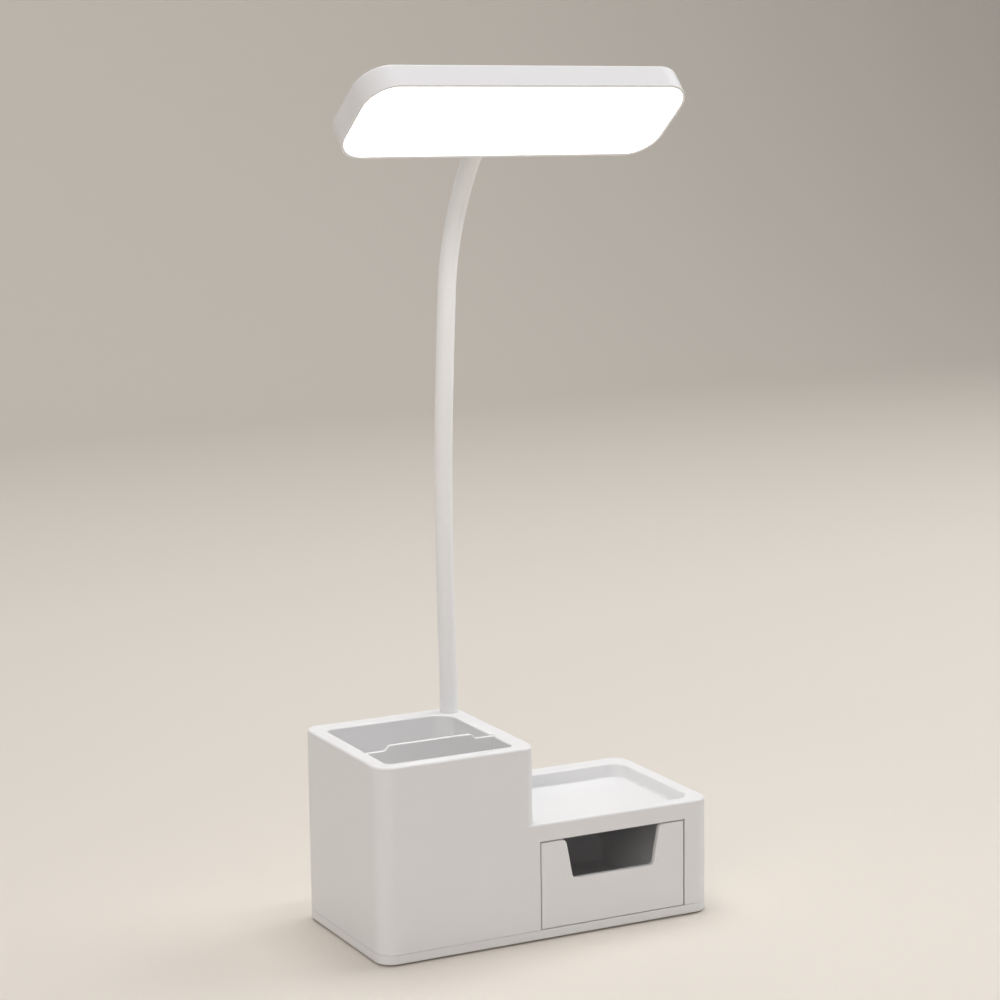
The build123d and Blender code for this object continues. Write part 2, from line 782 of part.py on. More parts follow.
switch_back = back - switch_from_back
button_flange_back = back - wall - button_flange_gap
button_stem_end = button_flange_back - button_flange - button_stem
with BuildPart() as power_switch:
    with BuildSketch(Plane.XY.offset(board_top_z)):
        with Locations((button_x, switch_back - switch_size[1] / 2)):
            Rectangle(switch_size[0], switch_size[1])
    extrude(amount=switch_size[2])
    with BuildSketch(Plane.XZ.offset(-switch_back)):
        with Locations((button_x, button_z)):
            Circle(button_stem_radius + button_play)
    extrude(amount=switch_back - button_stem_end + button_travel + button_play, mode=Mode.SUBTRACT)
save(power_switch.part, "power_switch")

with BuildPart() as power_button:
    with BuildSketch(Plane.XZ.offset(-back - button_proud)):
        with Locations((button_x, button_z)):
            Circle(button_radius)
    extrude(amount=button_proud + wall + button_flange_gap)
    fillet(power_button.faces().sort_by(Axis.Y)[-1].edges(), radius=button_proud / 2)
    with BuildSketch(Plane.XZ.offset(-button_flange_back)):
        with Locations((button_x, button_z)):
            Circle(button_flange_radius)
    extrude(amount=button_flange)
    with BuildSketch(Plane.XZ.offset(-button_flange_back + button_flange)):
        with Locations((button_x, button_z)):
            Circle(button_stem_radius)
    extrude(amount=button_stem)
save(power_button.part, "power_button")

with BuildPart() as indicator_light:
    with BuildSketch(Plane.XY.offset(board_top_z)):
        with Locations((light_x, board_back - light_body[1] / 2)):
            Rectangle(light_body[0], light_body[1])
    extrude(amount=light_body[2])
    with BuildSketch(Plane.XZ.offset(-back)):
        with Locations((light_x, button_z)):
            Circle(light_radius)
    extrude(amount=back - board_back)
save(indicator_light.part, "indicator_light")

with BuildPart() as lead_connector:
    with BuildSketch(Plane.XY.offset(board_top_z)):
        with Locations((neck_x, neck_y)):
            Rectangle(connector_size[0], connector_size[1])
    extrude(amount=connector_size[2])
save(lead_connector.part, "lead_connector")

battery_plug_x = left + board_from_left + battery_plug_size[0] / 2
battery_plug_y = front + battery_plug_from_front
battery_lead_z = board_top_z + battery_plug_size[2] / 2
with BuildPart() as battery_lead:
    with BuildSketch(Plane.XY.offset(board_top_z)):
        with Locations((battery_plug_x, battery_plug_y)):
            Rectangle(battery_plug_size[0], battery_plug_size[1])
    extrude(amount=battery_plug_size[2])
    with BuildSketch(Plane.YZ.offset(holder_x + holder_width / 2)):
        with Locations((battery_plug_y, battery_lead_z)):
            Circle(battery_lead_radius)
    extrude(amount=battery_plug_x - holder_x - holder_width / 2)
save(battery_lead.part, "battery_lead")

# ================================================================ foot of the neck
ferrule_low_z = shelf_z - washer_thickness - nut_thickness - ferrule_tail
with BuildPart() as neck_ferrule:
    with BuildSketch(Plane.XY.offset(shelf_top_z)):
        with Locations((neck_x, neck_y)):
            Circle(ferrule_flange_radius)
    extrude(amount=ferrule_flange)
    with BuildSketch(Plane.XY.offset(shelf_top_z)):
        with Locations((neck_x, neck_y)):
            Circle(ferrule_radius)
    extrude(amount=ferrule_low_z - shelf_top_z)
    with BuildSketch(Plane.XY.offset(ferrule_low_z)):
        with Locations((neck_x, neck_y)):
            Circle(core_bore)
    extrude(amount=shelf_top_z + ferrule_flange - ferrule_low_z, mode=Mode.SUBTRACT)
save(neck_ferrule.part, "neck_ferrule")

with BuildPart() as neck_washer:
    with BuildSketch(Plane.XY.offset(shelf_z)):
        with Locations((neck_x, neck_y)):
            Circle(washer_radius)
            Circle(ferrule_radius + post_play, mode=Mode.SUBTRACT)
    extrude(amount=-washer_thickness)
save(neck_washer.part, "neck_washer")

with BuildPart() as neck_nut:
    with BuildSketch(Plane.XY.offset(shelf_z - washer_thickness)):
        with Locations((neck_x, neck_y)):
            RegularPolygon(nut_across_flats / 2, 6, major_radius=False)
            Circle(ferrule_radius + thread_play, mode=Mode.SUBTRACT)
    extrude(amount=-nut_thickness)
save(neck_nut.part, "neck_nut")

with BuildPart() as neck_lead_base:
    with BuildSketch(Plane.XY.offset(board_top_z + connector_size[2])):
        with Locations((neck_x, neck_y)):
            Circle(lead_radius)
    extrude(amount=shelf_top_z + ferrule_flange - board_top_z - connector_size[2])
save(neck_lead_base.part, "neck_lead_base")

# ================================================================ neck
# The neck bends in one upright plane: its x runs forward and its y runs up.
forward = Vector(math.sin(math.radians(neck_yaw)), -math.cos(math.radians(neck_yaw)), 0)
neck_normal = forward.cross(Vector(0, 0, 1))
neck_plane = Plane(origin=(neck_x, neck_y, 0), x_dir=forward, z_dir=neck_normal)


def heading_step(point, heading, length, turn):
    """Where an arc of this length ends in the neck plane when its heading turns forward."""
    half_turn = math.radians(turn / 2)
    chord = length * (math.sin(half_turn) / half_turn if half_turn else 1.0)
    middle = math.radians(heading) + half_turn
    return (point[0] + chord * math.sin(middle), point[1] + chord * math.cos(middle)), heading + turn


def heading_vector(heading):
    """Unit tangent in the neck plane of a heading counted from upright."""
    return (math.sin(math.radians(heading)), math.cos(math.radians(heading)))


neck_runs = []
neck_bends = []
place, heading = (0.0, cup_top_z), 0.0
stretch_count = len(stretch_length)
for number, (length, turn) in enumerate(zip(stretch_length, stretch_turn), start=1):
    neck_runs.append((place, heading, length, turn))
    place, heading = heading_step(place, heading, length, turn)
    if number < stretch_count:
        after, heading = heading_step(place, heading, flex_length, 0.0)
        neck_bends.append((place, after, heading))
        place = after
neck_end, neck_end_heading = place, heading


def neck_rod(number, outer_radius, inner_radius=0.0, root=0.0, tail=0.0):
    """One stretch of the neck as a rod or tube, with a straight root below or tail beyond it."""
    start, first_heading, length, turn = neck_runs[number - 1]
    tangent = heading_vector(first_heading)
    with BuildPart() as rod:
        with BuildLine(neck_plane) as run:
            begin = (start[0] - root * tangent[0], start[1] - root * tangent[1])
            if root:
                Line(begin, start)
            arc_radius = length / math.radians(abs(turn))
            JernArc(start=start, tangent=tangent, radius=arc_radius, arc_size=-turn)
            if tail:
                stop, last_heading = heading_step(start, first_heading, length, turn)
                ahead = heading_vector(last_heading)
                Line(stop, (stop[0] + tail * ahead[0], stop[1] + tail * ahead[1]))
        end_plane = Plane(
            origin=neck_plane.from_local_coords((begin[0], begin[1], 0)),
            x_dir=neck_plane.z_dir,
            z_dir=forward * tangent[0] + Vector(0, 0, tangent[1]),
        )
        with BuildSketch(end_plane):
            Circle(outer_radius)
            if inner_radius:
                Circle(inner_radius, mode=Mode.SUBTRACT)
        sweep(path=run.line)
    return rod.part


root_above_flange = neck_root_depth - ferrule_flange
for number in range(1, stretch_count + 1):
    in_post = root_above_flange if number == 1 else 0.0
    in_head = socket_depth_neck if number == stretch_count else 0.0
    sleeve_in_head = socket_sleeve_depth if number == stretch_count else 0.0
    sleeve = neck_rod(number, neck_radius, core_radius + core_play, in_post, sleeve_in_head)
    save(sleeve, f"neck_sleeve_{number}")
    save(neck_rod(number, core_radius, core_bore, in_post, in_head), f"neck_core_{number}")
    save(neck_rod(number, lead_radius, 0.0, in_post, in_head), f"neck_lead_{number}")

for number, (low, high, heading) in enumerate(neck_bends, start=1):
    tangent = heading_vector(heading)
    with BuildPart() as flex:
        begin = (low[0] + flex_gap * tangent[0], low[1] + flex_gap * tangent[1])
        flex_plane = Plane(
            origin=neck_plane.from_local_coords((begin[0], begin[1], 0)),
            x_dir=neck_plane.z_dir,
            z_dir=forward * tangent[0] + Vector(0, 0, tangent[1]),
        )
        with BuildSketch(flex_plane):
            Circle(neck_radius)
            Circle(core_bore, mode=Mode.SUBTRACT)
        extrude(amount=flex_length - 2 * flex_gap)
    save(flex.part, f"neck_flex_{number}")

# ================================================================ head
# head_plane lies on the lit face: x runs to the right end, y to the rear edge, z out of the back.
head_tilt = 90 - neck_end_heading - socket_pitch


def head_direction(x, y, z):
    """A direction of the head's own axes in the part's frame."""
    rolled = Vector(x, y, z).rotate(Axis.Y, head_roll)
    return rolled.rotate(Axis.X, -head_tilt).rotate(Axis.Z, neck_yaw)


ahead = heading_vector(neck_end_heading)
neck_end_point = neck_plane.from_local_coords((neck_end[0], neck_end[1], 0))
neck_end_plane = Plane(
    origin=neck_end_point,
    x_dir=neck_plane.z_dir,
    z_dir=forward * ahead[0] + Vector(0, 0, ahead[1]),
)
socket_entry_y = head_width / 2 - socket_entry_inset
head_origin = (
    neck_end_point
    - head_direction(0, 1, 0) * socket_entry_y
    - head_direction(0, 0, 1) * (head_thickness + socket_entry_height)
)
head_plane = Plane(origin=head_origin, x_dir=head_direction(1, 0, 0), z_dir=head_direction(0, 0, 1))
head_up = Axis(origin=head_origin, direction=head_direction(0, 0, 1))

diffuser_inset = head_wall + diffuser_gap
frame_low = diffuser_recess + diffuser_thickness
frame_inner_inset = diffuser_inset + frame_width
screw_reach = (head_corner_radius - diffuser_inset - frame_width / 2) / math.sqrt(2)
frame_screw_x = head_length / 2 - head_corner_radius + screw_reach
frame_screw_y = head_width / 2 - head_corner_radius + screw_reach
socket_slope = math.tan(math.radians(socket_pitch))
socket_inner_y = socket_entry_y - socket_depth_neck * math.cos(math.radians(socket_pitch))
socket_inner_z = (
    head_thickness + socket_entry_height + socket_depth_neck * math.sin(math.radians(socket_pitch))
)
lead_drop_y = socket_inner_y - lead_run_in
set_screw_y = socket_entry_y - set_screw_from_entry
hump_front = socket_inner_y - lead_cavity_reach - hump_end_wall
hump_rear = head_width / 2 - hump_rear_inset

with BuildPart() as head_shell:
    with BuildSketch(head_plane):
        RectangleRounded(head_length, head_width, head_corner_radius)
    extrude(amount=head_thickness)
    fillet(head_shell.faces().sort_by(head_up)[-1].edges(), radius=head_edge_round)
    # the hump that takes the neck
    with BuildSketch(head_plane.offset(head_thickness - hump_root)):
        with Locations((0, (hump_front + hump_rear) / 2)):
            SlotOverall(hump_rear - hump_front, hump_width, rotation=90)
    extrude(amount=hump_root + hump_height)
    fillet(head_shell.faces().sort_by(head_up)[-1].edges(), radius=hump_round)
    # inside
    with BuildSketch(head_plane):
        RectangleRounded(
            head_length - 2 * head_wall, head_width - 2 * head_wall, head_corner_radius - head_wall
        )
    extrude(amount=head_thickness - head_back, mode=Mode.SUBTRACT)
    # bosses for the frame's screws
    with BuildSketch(head_plane.offset(frame_low + frame_height)):
        with GridLocations(2 * frame_screw_x, 2 * frame_screw_y, 2, 2):
            Circle(frame_boss_radius)
    extrude(amount=head_thickness - head_back - frame_low - frame_height)
    with BuildSketch(head_plane.offset(frame_low + frame_height)):
        with GridLocations(2 * frame_screw_x, 2 * frame_screw_y, 2, 2):
            Circle(frame_screw_radius + screw_play)
    extrude(amount=head_thickness - head_back - frame_low - frame_height, mode=Mode.SUBTRACT)
    # socket bore, the space beyond it where the lead turns, and the lead's way in
    with BuildSketch(neck_end_plane.offset(-socket_sleeve_depth)):
        Circle(neck_radius + socket_play)
    extrude(amount=socket_sleeve_depth + socket_depth_neck + socket_play, mode=Mode.SUBTRACT)
    with BuildSketch(neck_end_plane.offset(socket_depth_neck)):
        Circle(lead_cavity_radius)
    extrude(amount=lead_cavity_reach, mode=Mode.SUBTRACT)
    with BuildSketch(head_plane.offset(head_thickness - head_back)):
        with Locations((0, lead_drop_y)):
            Circle(lead_drop_radius)
    extrude(amount=head_back + socket_entry_height + lead_cavity_radius, mode=Mode.SUBTRACT)
    # hole for the set screw
    with BuildSketch(head_plane.offset(head_thickness + socket_entry_height + neck_radius)):
        with Locations((0, set_screw_y)):
            Circle(set_screw_radius + screw_play)
    extrude(amount=hump_height, mode=Mode.SUBTRACT)
save(head_shell.part, "head_shell")

with BuildPart() as diffuser:
    with BuildSketch(head_plane.offset(diffuser_recess)):
        RectangleRounded(
            head_length - 2 * diffuser_inset,
            head_width - 2 * diffuser_inset,
            head_corner_radius - diffuser_inset,
        )
    extrude(amount=diffuser_thickness)
    fillet(diffuser.faces().sort_by(head_up)[0].edges(), radius=diffuser_edge_round)
save(diffuser.part, "diffuser")

with BuildPart() as head_frame:
    with BuildSketch(head_plane.offset(frame_low)):
        RectangleRounded(
            head_length - 2 * diffuser_inset,
            head_width - 2 * diffuser_inset,
            head_corner_radius - diffuser_inset,
        )
        RectangleRounded(
            head_length - 2 * frame_inner_inset,
            head_width - 2 * frame_inner_inset,
            head_corner_radius - frame_inner_inset,
            mode=Mode.SUBTRACT,
        )
        with GridLocations(2 * frame_screw_x, 2 * frame_screw_y, 2, 2):
            Circle(frame_screw_radius + screw_play, mode=Mode.SUBTRACT)
    extrude(amount=frame_height)
    with BuildSketch(head_plane.offset(frame_low)):
        with GridLocations(2 * frame_screw_x, 2 * frame_screw_y, 2, 2):
            Circle(frame_screw_head_radius + screw_play)
    extrude(amount=frame_screw_head_height, mode=Mode.SUBTRACT)
save(head_frame.part, "head_frame")

with BuildPart() as head_screws:
    with BuildSketch(head_plane.offset(frame_low)):
        with GridLocations(2 * frame_screw_x, 2 * frame_screw_y, 2, 2):
            Circle(frame_screw_head_radius)
    extrude(amount=frame_screw_head_height)
    with BuildSketch(head_plane.offset(frame_low)):
        with GridLocations(2 * frame_screw_x, 2 * frame_screw_y, 2, 2):
            Circle(frame_screw_radius)
    extrude(amount=frame_screw_length)
save(head_screws.part, "head_screws")

# the light's inner parts stand between the frame's long sides: LED strip at the front
frame_inner_y = head_width / 2 - frame_inner_inset
led_board_length = head_length - 2 * led_end_inset
led_board_y = -frame_inner_y + led_board_thickness / 2
guide_front = -frame_inner_y + led_board_thickness + led_size[1] + guide_gap
guide_back = frame_inner_y - guide_gap
guide_length = head_length - 2 * (frame_inner_inset + guide_gap)
guide_low = frame_low + sheet_gap
guide_radius = head_corner_radius - frame_inner_inset - guide_gap
with BuildPart() as led_board:
    with BuildSketch(head_plane.offset(frame_low)):
        with Locations((0, led_board_y)):
            Rectangle(led_board_length, led_board_thickness)
    extrude(amount=led_board_height)
    with BuildSketch(head_plane.offset(frame_low)):
        with Locations((0, led_board_y)):
            Rectangle(led_tab[0], led_board_thickness)
    extrude(amount=led_tab[1])
save(led_board.part, "led_board")

with BuildPart() as led_chips:
    with BuildSketch(head_plane.offset(frame_low + (led_board_height - led_size[2]) / 2)):
        with Locations((0, led_board_y + led_board_thickness / 2 + led_size[1] / 2)):
            with GridLocations(led_board_length / led_count, 0, led_count, 1):
                Rectangle(led_size[0], led_size[1])
    extrude(amount=led_size[2])
save(led_chips.part, "led_chips")

with BuildPart() as light_guide:
    with BuildSketch(head_plane.offset(guide_low)):
        with Locations((0, (guide_front + guide_back) / 2)):
            RectangleRounded(guide_length, guide_back - guide_front, guide_radius)
    extrude(amount=guide_thickness)
save(light_guide.part, "light_guide")

with BuildPart() as reflector_sheet:
    with BuildSketch(head_plane.offset(guide_low + guide_thickness + sheet_gap)):
        with Locations((0, (guide_front + guide_back) / 2)):
            RectangleRounded(guide_length, guide_back - guide_front, guide_radius)
    extrude(amount=reflector_thickness)
save(reflector_sheet.part, "reflector_sheet")

with BuildPart() as neck_end_ferrule:
    with BuildSketch(neck_end_plane.offset(socket_sleeve_depth)):
        Circle(end_ferrule_radius)
        Circle(core_radius + core_play, mode=Mode.SUBTRACT)
    extrude(amount=socket_depth_neck - socket_sleeve_depth)
save(neck_end_ferrule.part, "neck_end_ferrule")

socket_rise = socket_slope * (socket_entry_y - set_screw_y)
set_screw_tip = head_thickness + socket_entry_height + socket_rise + end_ferrule_radius + set_screw_gap
with BuildPart() as neck_set_screw:
    with BuildSketch(head_plane.offset(set_screw_tip)):
        with Locations((0, set_screw_y)):
            Circle(set_screw_radius)
    extrude(amount=set_screw_length)
    with BuildSketch(head_plane.offset(set_screw_tip + set_screw_length)):
        with Locations((0, set_screw_y)):
            RegularPolygon(set_screw_radius / 2, 6)
    extrude(amount=-set_screw_length / 2, mode=Mode.SUBTRACT)
save(neck_set_screw.part, "neck_set_screw")

# the lead leaves the neck, drops through the back plate and runs to the LED strip
lead_corner_z = socket_inner_z + (socket_inner_y - lead_drop_y) * socket_slope
lead_plane = Plane(
    origin=head_origin, x_dir=head_direction(0, 1, 0), z_dir=head_direction(1, 0, 0)
)
with BuildPart() as head_lead:
    with BuildLine(lead_plane) as lead_run:
        FilletPolyline(
            (socket_inner_y - flex_gap, socket_inner_z),
            (lead_drop_y, lead_corner_z),
            (lead_drop_y, lead_run_height),
            (led_board_y + led_board_thickness / 2, lead_run_height),
            radius=lead_bend_radius,
        )
    with BuildSketch(Plane(origin=lead_run.line @ 0, z_dir=lead_run.line % 0)):
        Circle(head_lead_radius)
    sweep(path=lead_run.line)
save(head_lead.part, "head_lead")
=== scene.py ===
"""Looks of a desk lamp on an organiser base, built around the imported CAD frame.

The frame gives every rigid solid. This script dresses those solids, adds the smooth neck,
the opal light panel, the button cap and the foot pads, and sets up a plain studio.
Lengths are in metres, +Z up, the drawer opens towards -Y.
"""

import json
import logging
import math
from dataclasses import dataclass
from enum import Enum
from typing import Any, Iterable, Sequence

import bpy
import numpy as np
from mathutils import Matrix, Vector

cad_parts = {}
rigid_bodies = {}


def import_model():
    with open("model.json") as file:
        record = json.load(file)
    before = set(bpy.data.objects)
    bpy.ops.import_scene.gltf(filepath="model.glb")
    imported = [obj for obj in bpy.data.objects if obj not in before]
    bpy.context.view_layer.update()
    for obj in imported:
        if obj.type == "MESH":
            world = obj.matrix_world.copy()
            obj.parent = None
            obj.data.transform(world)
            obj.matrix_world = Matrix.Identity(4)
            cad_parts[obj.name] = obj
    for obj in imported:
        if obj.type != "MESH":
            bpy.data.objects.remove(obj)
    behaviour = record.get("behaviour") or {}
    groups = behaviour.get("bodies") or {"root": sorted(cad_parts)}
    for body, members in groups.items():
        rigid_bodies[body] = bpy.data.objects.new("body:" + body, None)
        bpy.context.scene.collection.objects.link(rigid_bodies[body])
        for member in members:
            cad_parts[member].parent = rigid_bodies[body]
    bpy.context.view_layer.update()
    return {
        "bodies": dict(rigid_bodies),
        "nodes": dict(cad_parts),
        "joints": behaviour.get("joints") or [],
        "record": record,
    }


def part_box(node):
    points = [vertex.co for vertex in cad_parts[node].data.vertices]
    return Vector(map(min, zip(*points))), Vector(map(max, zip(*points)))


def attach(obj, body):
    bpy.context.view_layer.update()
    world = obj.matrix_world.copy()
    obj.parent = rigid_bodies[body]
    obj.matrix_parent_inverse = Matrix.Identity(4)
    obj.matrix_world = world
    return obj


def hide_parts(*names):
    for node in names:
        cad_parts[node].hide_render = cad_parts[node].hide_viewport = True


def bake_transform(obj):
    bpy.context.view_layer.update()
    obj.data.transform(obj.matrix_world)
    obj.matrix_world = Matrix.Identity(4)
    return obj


LOG = logging.getLogger("desk_lamp")
MM = 0.001
NOISE_BAND = (0.3, 0.7)
AXIS_X, AXIS_Y, AXIS_Z = np.eye(3)

Colour = tuple[float, float, float]


class Side(Enum):
    """Where a studio lamp stands, as seen by someone facing the drawer."""

    LEFT = "left"
    RIGHT = "right"
    ABOVE = "above"


# ---------------------------------------------------------------- meshes


def ring_mesh(name: str, stacks: Sequence[np.ndarray], smooth_ends: bool = False) -> bpy.types.Object:
    """Makes one object from stacks of rings, each closed round itself and at both ends.

    A stack is an array S(i, j) of points, i along the piece and j round it, and the quads join
    S(i, j), S(i, j+1), S(i+1, j+1), S(i+1, j). Each end is a fan to the mean of its last ring.
    Counter-clockwise rings, seen against the direction of travel, give outward faces.

    Args:
        name: Name of the new object.
        stacks: Arrays of shape (rings, points per ring, 3), in metres.
        smooth_ends: True shades the end fans smoothly with the sides.

    Returns:
        The new object, linked to the scene, at the origin.
    """
    points: list[np.ndarray] = []
    corners: list[np.ndarray] = []
    sizes: list[np.ndarray] = []
    smooth: list[np.ndarray] = []
    base = 0
    for stack in stacks:
        rows, count, _ = stack.shape
        poles = np.stack([stack[0].mean(axis=0), stack[-1].mean(axis=0)])
        points.append(np.concatenate([stack.reshape(-1, 3), poles]))
        row, column = np.meshgrid(np.arange(rows - 1), np.arange(count), indexing="ij")
        following = (column + 1) % count
        quads = np.stack(
            [row * count + column, row * count + following,
             (row + 1) * count + following, (row + 1) * count + column],
            axis=-1,
        ).reshape(-1)
        around = np.arange(count)
        after = (around + 1) % count
        first_pole = np.full(count, rows * count)
        start_fan = np.stack([after, around, first_pole], axis=-1).reshape(-1)
        last_row = (rows - 1) * count
        end_fan = np.stack([last_row + around, last_row + after, first_pole + 1], axis=-1).reshape(-1)
        corners += [quads + base, start_fan + base, end_fan + base]
        sizes += [np.full((rows - 1) * count, 4), np.full(2 * count, 3)]
        smooth += [np.ones((rows - 1) * count, bool), np.full(2 * count, smooth_ends)]
        base += rows * count + 2
    vertices = np.concatenate(points)
    corner_list = np.concatenate(corners)
    size_list = np.concatenate(sizes)
    mesh = bpy.data.meshes.new(name)
    mesh.vertices.add(len(vertices))
    mesh.vertices.foreach_set("co", vertices.astype(np.float32).ravel())
    mesh.loops.add(len(corner_list))
    mesh.loops.foreach_set("vertex_index", corner_list.astype(np.int32))
    mesh.polygons.add(len(size_list))
    starts = np.concatenate([[0], np.cumsum(size_list)[:-1]])
    mesh.polygons.foreach_set("loop_start", starts.astype(np.int32))
    mesh.polygons.foreach_set("use_smooth", np.concatenate(smooth))
    mesh.update(calc_edges=True)
    mesh.validate()
    piece = bpy.data.objects.new(name, mesh)
    bpy.context.scene.collection.objects.link(piece)
    return piece


def circle(count: int) -> np.ndarray:
    """Unit circle, counter-clockwise: (cos a, sin a) at count equal angles."""
    angle = np.linspace(0.0, 2.0 * math.pi, count, endpoint=False)
    return np.stack([np.cos(angle), np.sin(angle)], axis=-1)


def turned(
    profile: np.ndarray, centre: np.ndarray, across: np.ndarray, up: np.ndarray, count: int = 64
) -> np.ndarray:
    """A profile turned about an axis: P(i, j) = centre + h_i axis + r_i (cos a_j across + sin a_j up).

    Args:
        profile: Rows of (radius, height), from the first end to the last.
        centre: Point on the axis at height 0.
        across: Unit vector of angle 0.
        up: Unit vector of angle 90; the axis is across x up.
        count: Points round the axis.

    Returns:
        Points of shape (rows, count, 3).
    """
    axis = np.cross(across, up)
    ring = circle(count)
    radial = ring[:, :1] * across + ring[:, 1:] * up
    return centre + profile[:, 1, None, None] * axis + profile[:, 0, None, None] * radial


def rounded_outline(length: float, width: float, radius: float, per_corner: int = 24) -> np.ndarray:
    """Outline of a rounded rectangle: four quarter circles, counter-clockwise, joined by straights.

    Args:
        length: Full size along the first axis.
        width: Full size along the second axis.
        radius: Corner radius.
        per_corner: Points on each corner.

    Returns:
        Points of shape (4 * per_corner, 2).
    """
    quarter = np.linspace(0.0, math.pi / 2, per_corner)
    turns = np.arange(4)[:, None] * math.pi / 2 + quarter[None, :]
    signs = np.array([(1, 1), (-1, 1), (-1, -1), (1, -1)], float)
    middle = signs * (np.array([length, width]) / 2 - radius)
    corner = np.stack([np.cos(turns), np.sin(turns)], axis=-1) * radius
    return (middle[:, None, :] + corner).reshape(-1, 2)


# ---------------------------------------------------------------- node graphs and finishes


class Graph:
    """A short way to write one material's nodes."""

    def __init__(self, name: str) -> None:
        """Starts a material with a Principled shader and Object coordinates."""
        self.material = bpy.data.materials.new(name)
        self.material.use_nodes = True
        self.tree = self.material.node_tree
        self.tree.nodes.clear()
        self.shader = self.add("ShaderNodeBsdfPrincipled")
        output = self.add("ShaderNodeOutputMaterial")
        self.join(self.shader.outputs["BSDF"], output.inputs["Surface"])
        self.place = self.add("ShaderNodeTexCoord").outputs["Object"]

    def add(self, kind: str, **settings: Any) -> bpy.types.Node:
        """Adds a node and sets its own settings, such as operation."""
        node = self.tree.nodes.new(kind)
        for key, value in settings.items():
            setattr(node, key, value)
        return node

    def join(self, source: bpy.types.NodeSocket, target: bpy.types.NodeSocket) -> None:
        """Links two sockets."""
        self.tree.links.new(source, target)

    def set(self, **values: Any) -> None:
        """Sets the shader's own sockets: base_color=..., roughness=... and so on."""
        for key, value in values.items():
            title = key.replace("_", " ").title().replace("Ior", "IOR")
            self.shader.inputs[title].default_value = value

    def noise(self, scale: float, detail: float = 2.0, stretch: Sequence[float] = (1, 1, 1)) -> Any:
        """Noise of that many features per metre, stretched along the axes; returns its factor."""
        texture = self.add("ShaderNodeTexNoise")
        texture.inputs["Scale"].default_value = scale
        texture.inputs["Detail"].default_value = detail
        if tuple(stretch) == (1, 1, 1):
            self.join(self.place, texture.inputs["Vector"])
        else:
            mapping = self.add("ShaderNodeMapping")
            mapping.inputs["Scale"].default_value = tuple(stretch)
            self.join(self.place, mapping.inputs["Vector"])
            self.join(mapping.outputs["Vector"], texture.inputs["Vector"])
        return texture.outputs["Fac"]

    def spread(self, factor: Any, low: float, high: float) -> Any:
        """Maps the noise's useful band onto low to high."""
        ramp = self.add("ShaderNodeMapRange")
        limits = {"From Min": NOISE_BAND[0], "From Max": NOISE_BAND[1], "To Min": low, "To Max": high}
        for key, value in limits.items():
            ramp.inputs[key].default_value = value
        self.join(factor, ramp.inputs["Value"])
        return ramp.outputs["Result"]

    def blend(self, factor: Any, first: Colour, second: Colour) -> Any:
        """Mixes two colours by a factor."""
        mix = self.add("ShaderNodeMix", data_type="RGBA")
        self.join(factor, mix.inputs["Factor"])
        mix.inputs["A"].default_value = (*first, 1.0)
        mix.inputs["B"].default_value = (*second, 1.0)
        return mix.outputs["Result"]

    def bump(self, height: Any, depth: float, strength: float = 1.0) -> None:
        """Raises the surface by depth metres where height is 1."""
        node = self.add("ShaderNodeBump")
        node.inputs["Strength"].default_value = strength
        node.inputs["Distance"].default_value = depth
        self.join(height, node.inputs["Height"])
        self.join(node.outputs["Normal"], self.shader.inputs["Normal"])


def tint(colour: Colour, by: float) -> Colour:
    """The colour made lighter (by > 1) or darker (by < 1)."""
    return tuple(min(1.0, channel * by) for channel in colour)


@dataclass(frozen=True)
class MouldedPlastic:
    """Injection-moulded plastic: an even colour with faint flow marks and a fine spark grain."""

    name: str
    colour: Colour
    roughness: float = 0.42
    smoother: float = 0.04
    rougher: float = 0.05
    grain_per_m: float = 2600.0
    grain_depth: float = 0.03 * MM
    grain_strength: float = 0.35
    grains_per_patch: float = 9.0
    flow_per_m: float = 22.0
    mottle: float = 0.985
    ior: float = 1.5

    def build(self) -> bpy.types.Material:
        """Makes the material."""
        graph = Graph(self.name)
        flow = graph.spread(graph.noise(self.flow_per_m, 3.0), 0.0, 1.0)
        colour = graph.blend(flow, tint(self.colour, self.mottle), self.colour)
        graph.join(colour, graph.shader.inputs["Base Color"])
        grain = graph.noise(self.grain_per_m, 1.0)
        patches = graph.noise(self.grain_per_m / self.grains_per_patch, 2.0)
        sheen = graph.spread(patches, self.roughness - self.smoother, self.roughness + self.rougher)
        graph.join(sheen, graph.shader.inputs["Roughness"])
        graph.bump(grain, self.grain_depth, self.grain_strength)
        graph.set(ior=self.ior)
        return graph.material


@dataclass(frozen=True)
class Silicone:
    """Soft rubber or silicone skin: matt, with a light velvet sheen and fine dust speckle."""

    name: str
    colour: Colour
    roughness: float = 0.55
    speckle_per_m: float = 900.0
    mottle: float = 0.975
    wear_per_m: float = 45.0
    wear: float = 0.06
    sheen: float = 0.15
    sheen_roughness: float = 0.4
    wave_per_m: float = 420.0
    wave_depth: float = 0.04 * MM
    wave_strength: float = 0.4

    def build(self) -> bpy.types.Material:
        """Makes the material."""
        graph = Graph(self.name)
        speckle = graph.spread(graph.noise(self.speckle_per_m, 4.0), 0.0, 1.0)
        graph.join(graph.blend(speckle, tint(self.colour, self.mottle), self.colour),
                   graph.shader.inputs["Base Color"])
        patches = graph.noise(self.wear_per_m, 2.0)
        worn = graph.spread(patches, self.roughness - self.wear, self.roughness + self.wear)
        graph.join(worn, graph.shader.inputs["Roughness"])
        graph.bump(graph.noise(self.wave_per_m, 2.0), self.wave_depth, self.wave_strength)
        graph.set(sheen_weight=self.sheen, sheen_roughness=self.sheen_roughness)
        return graph.material


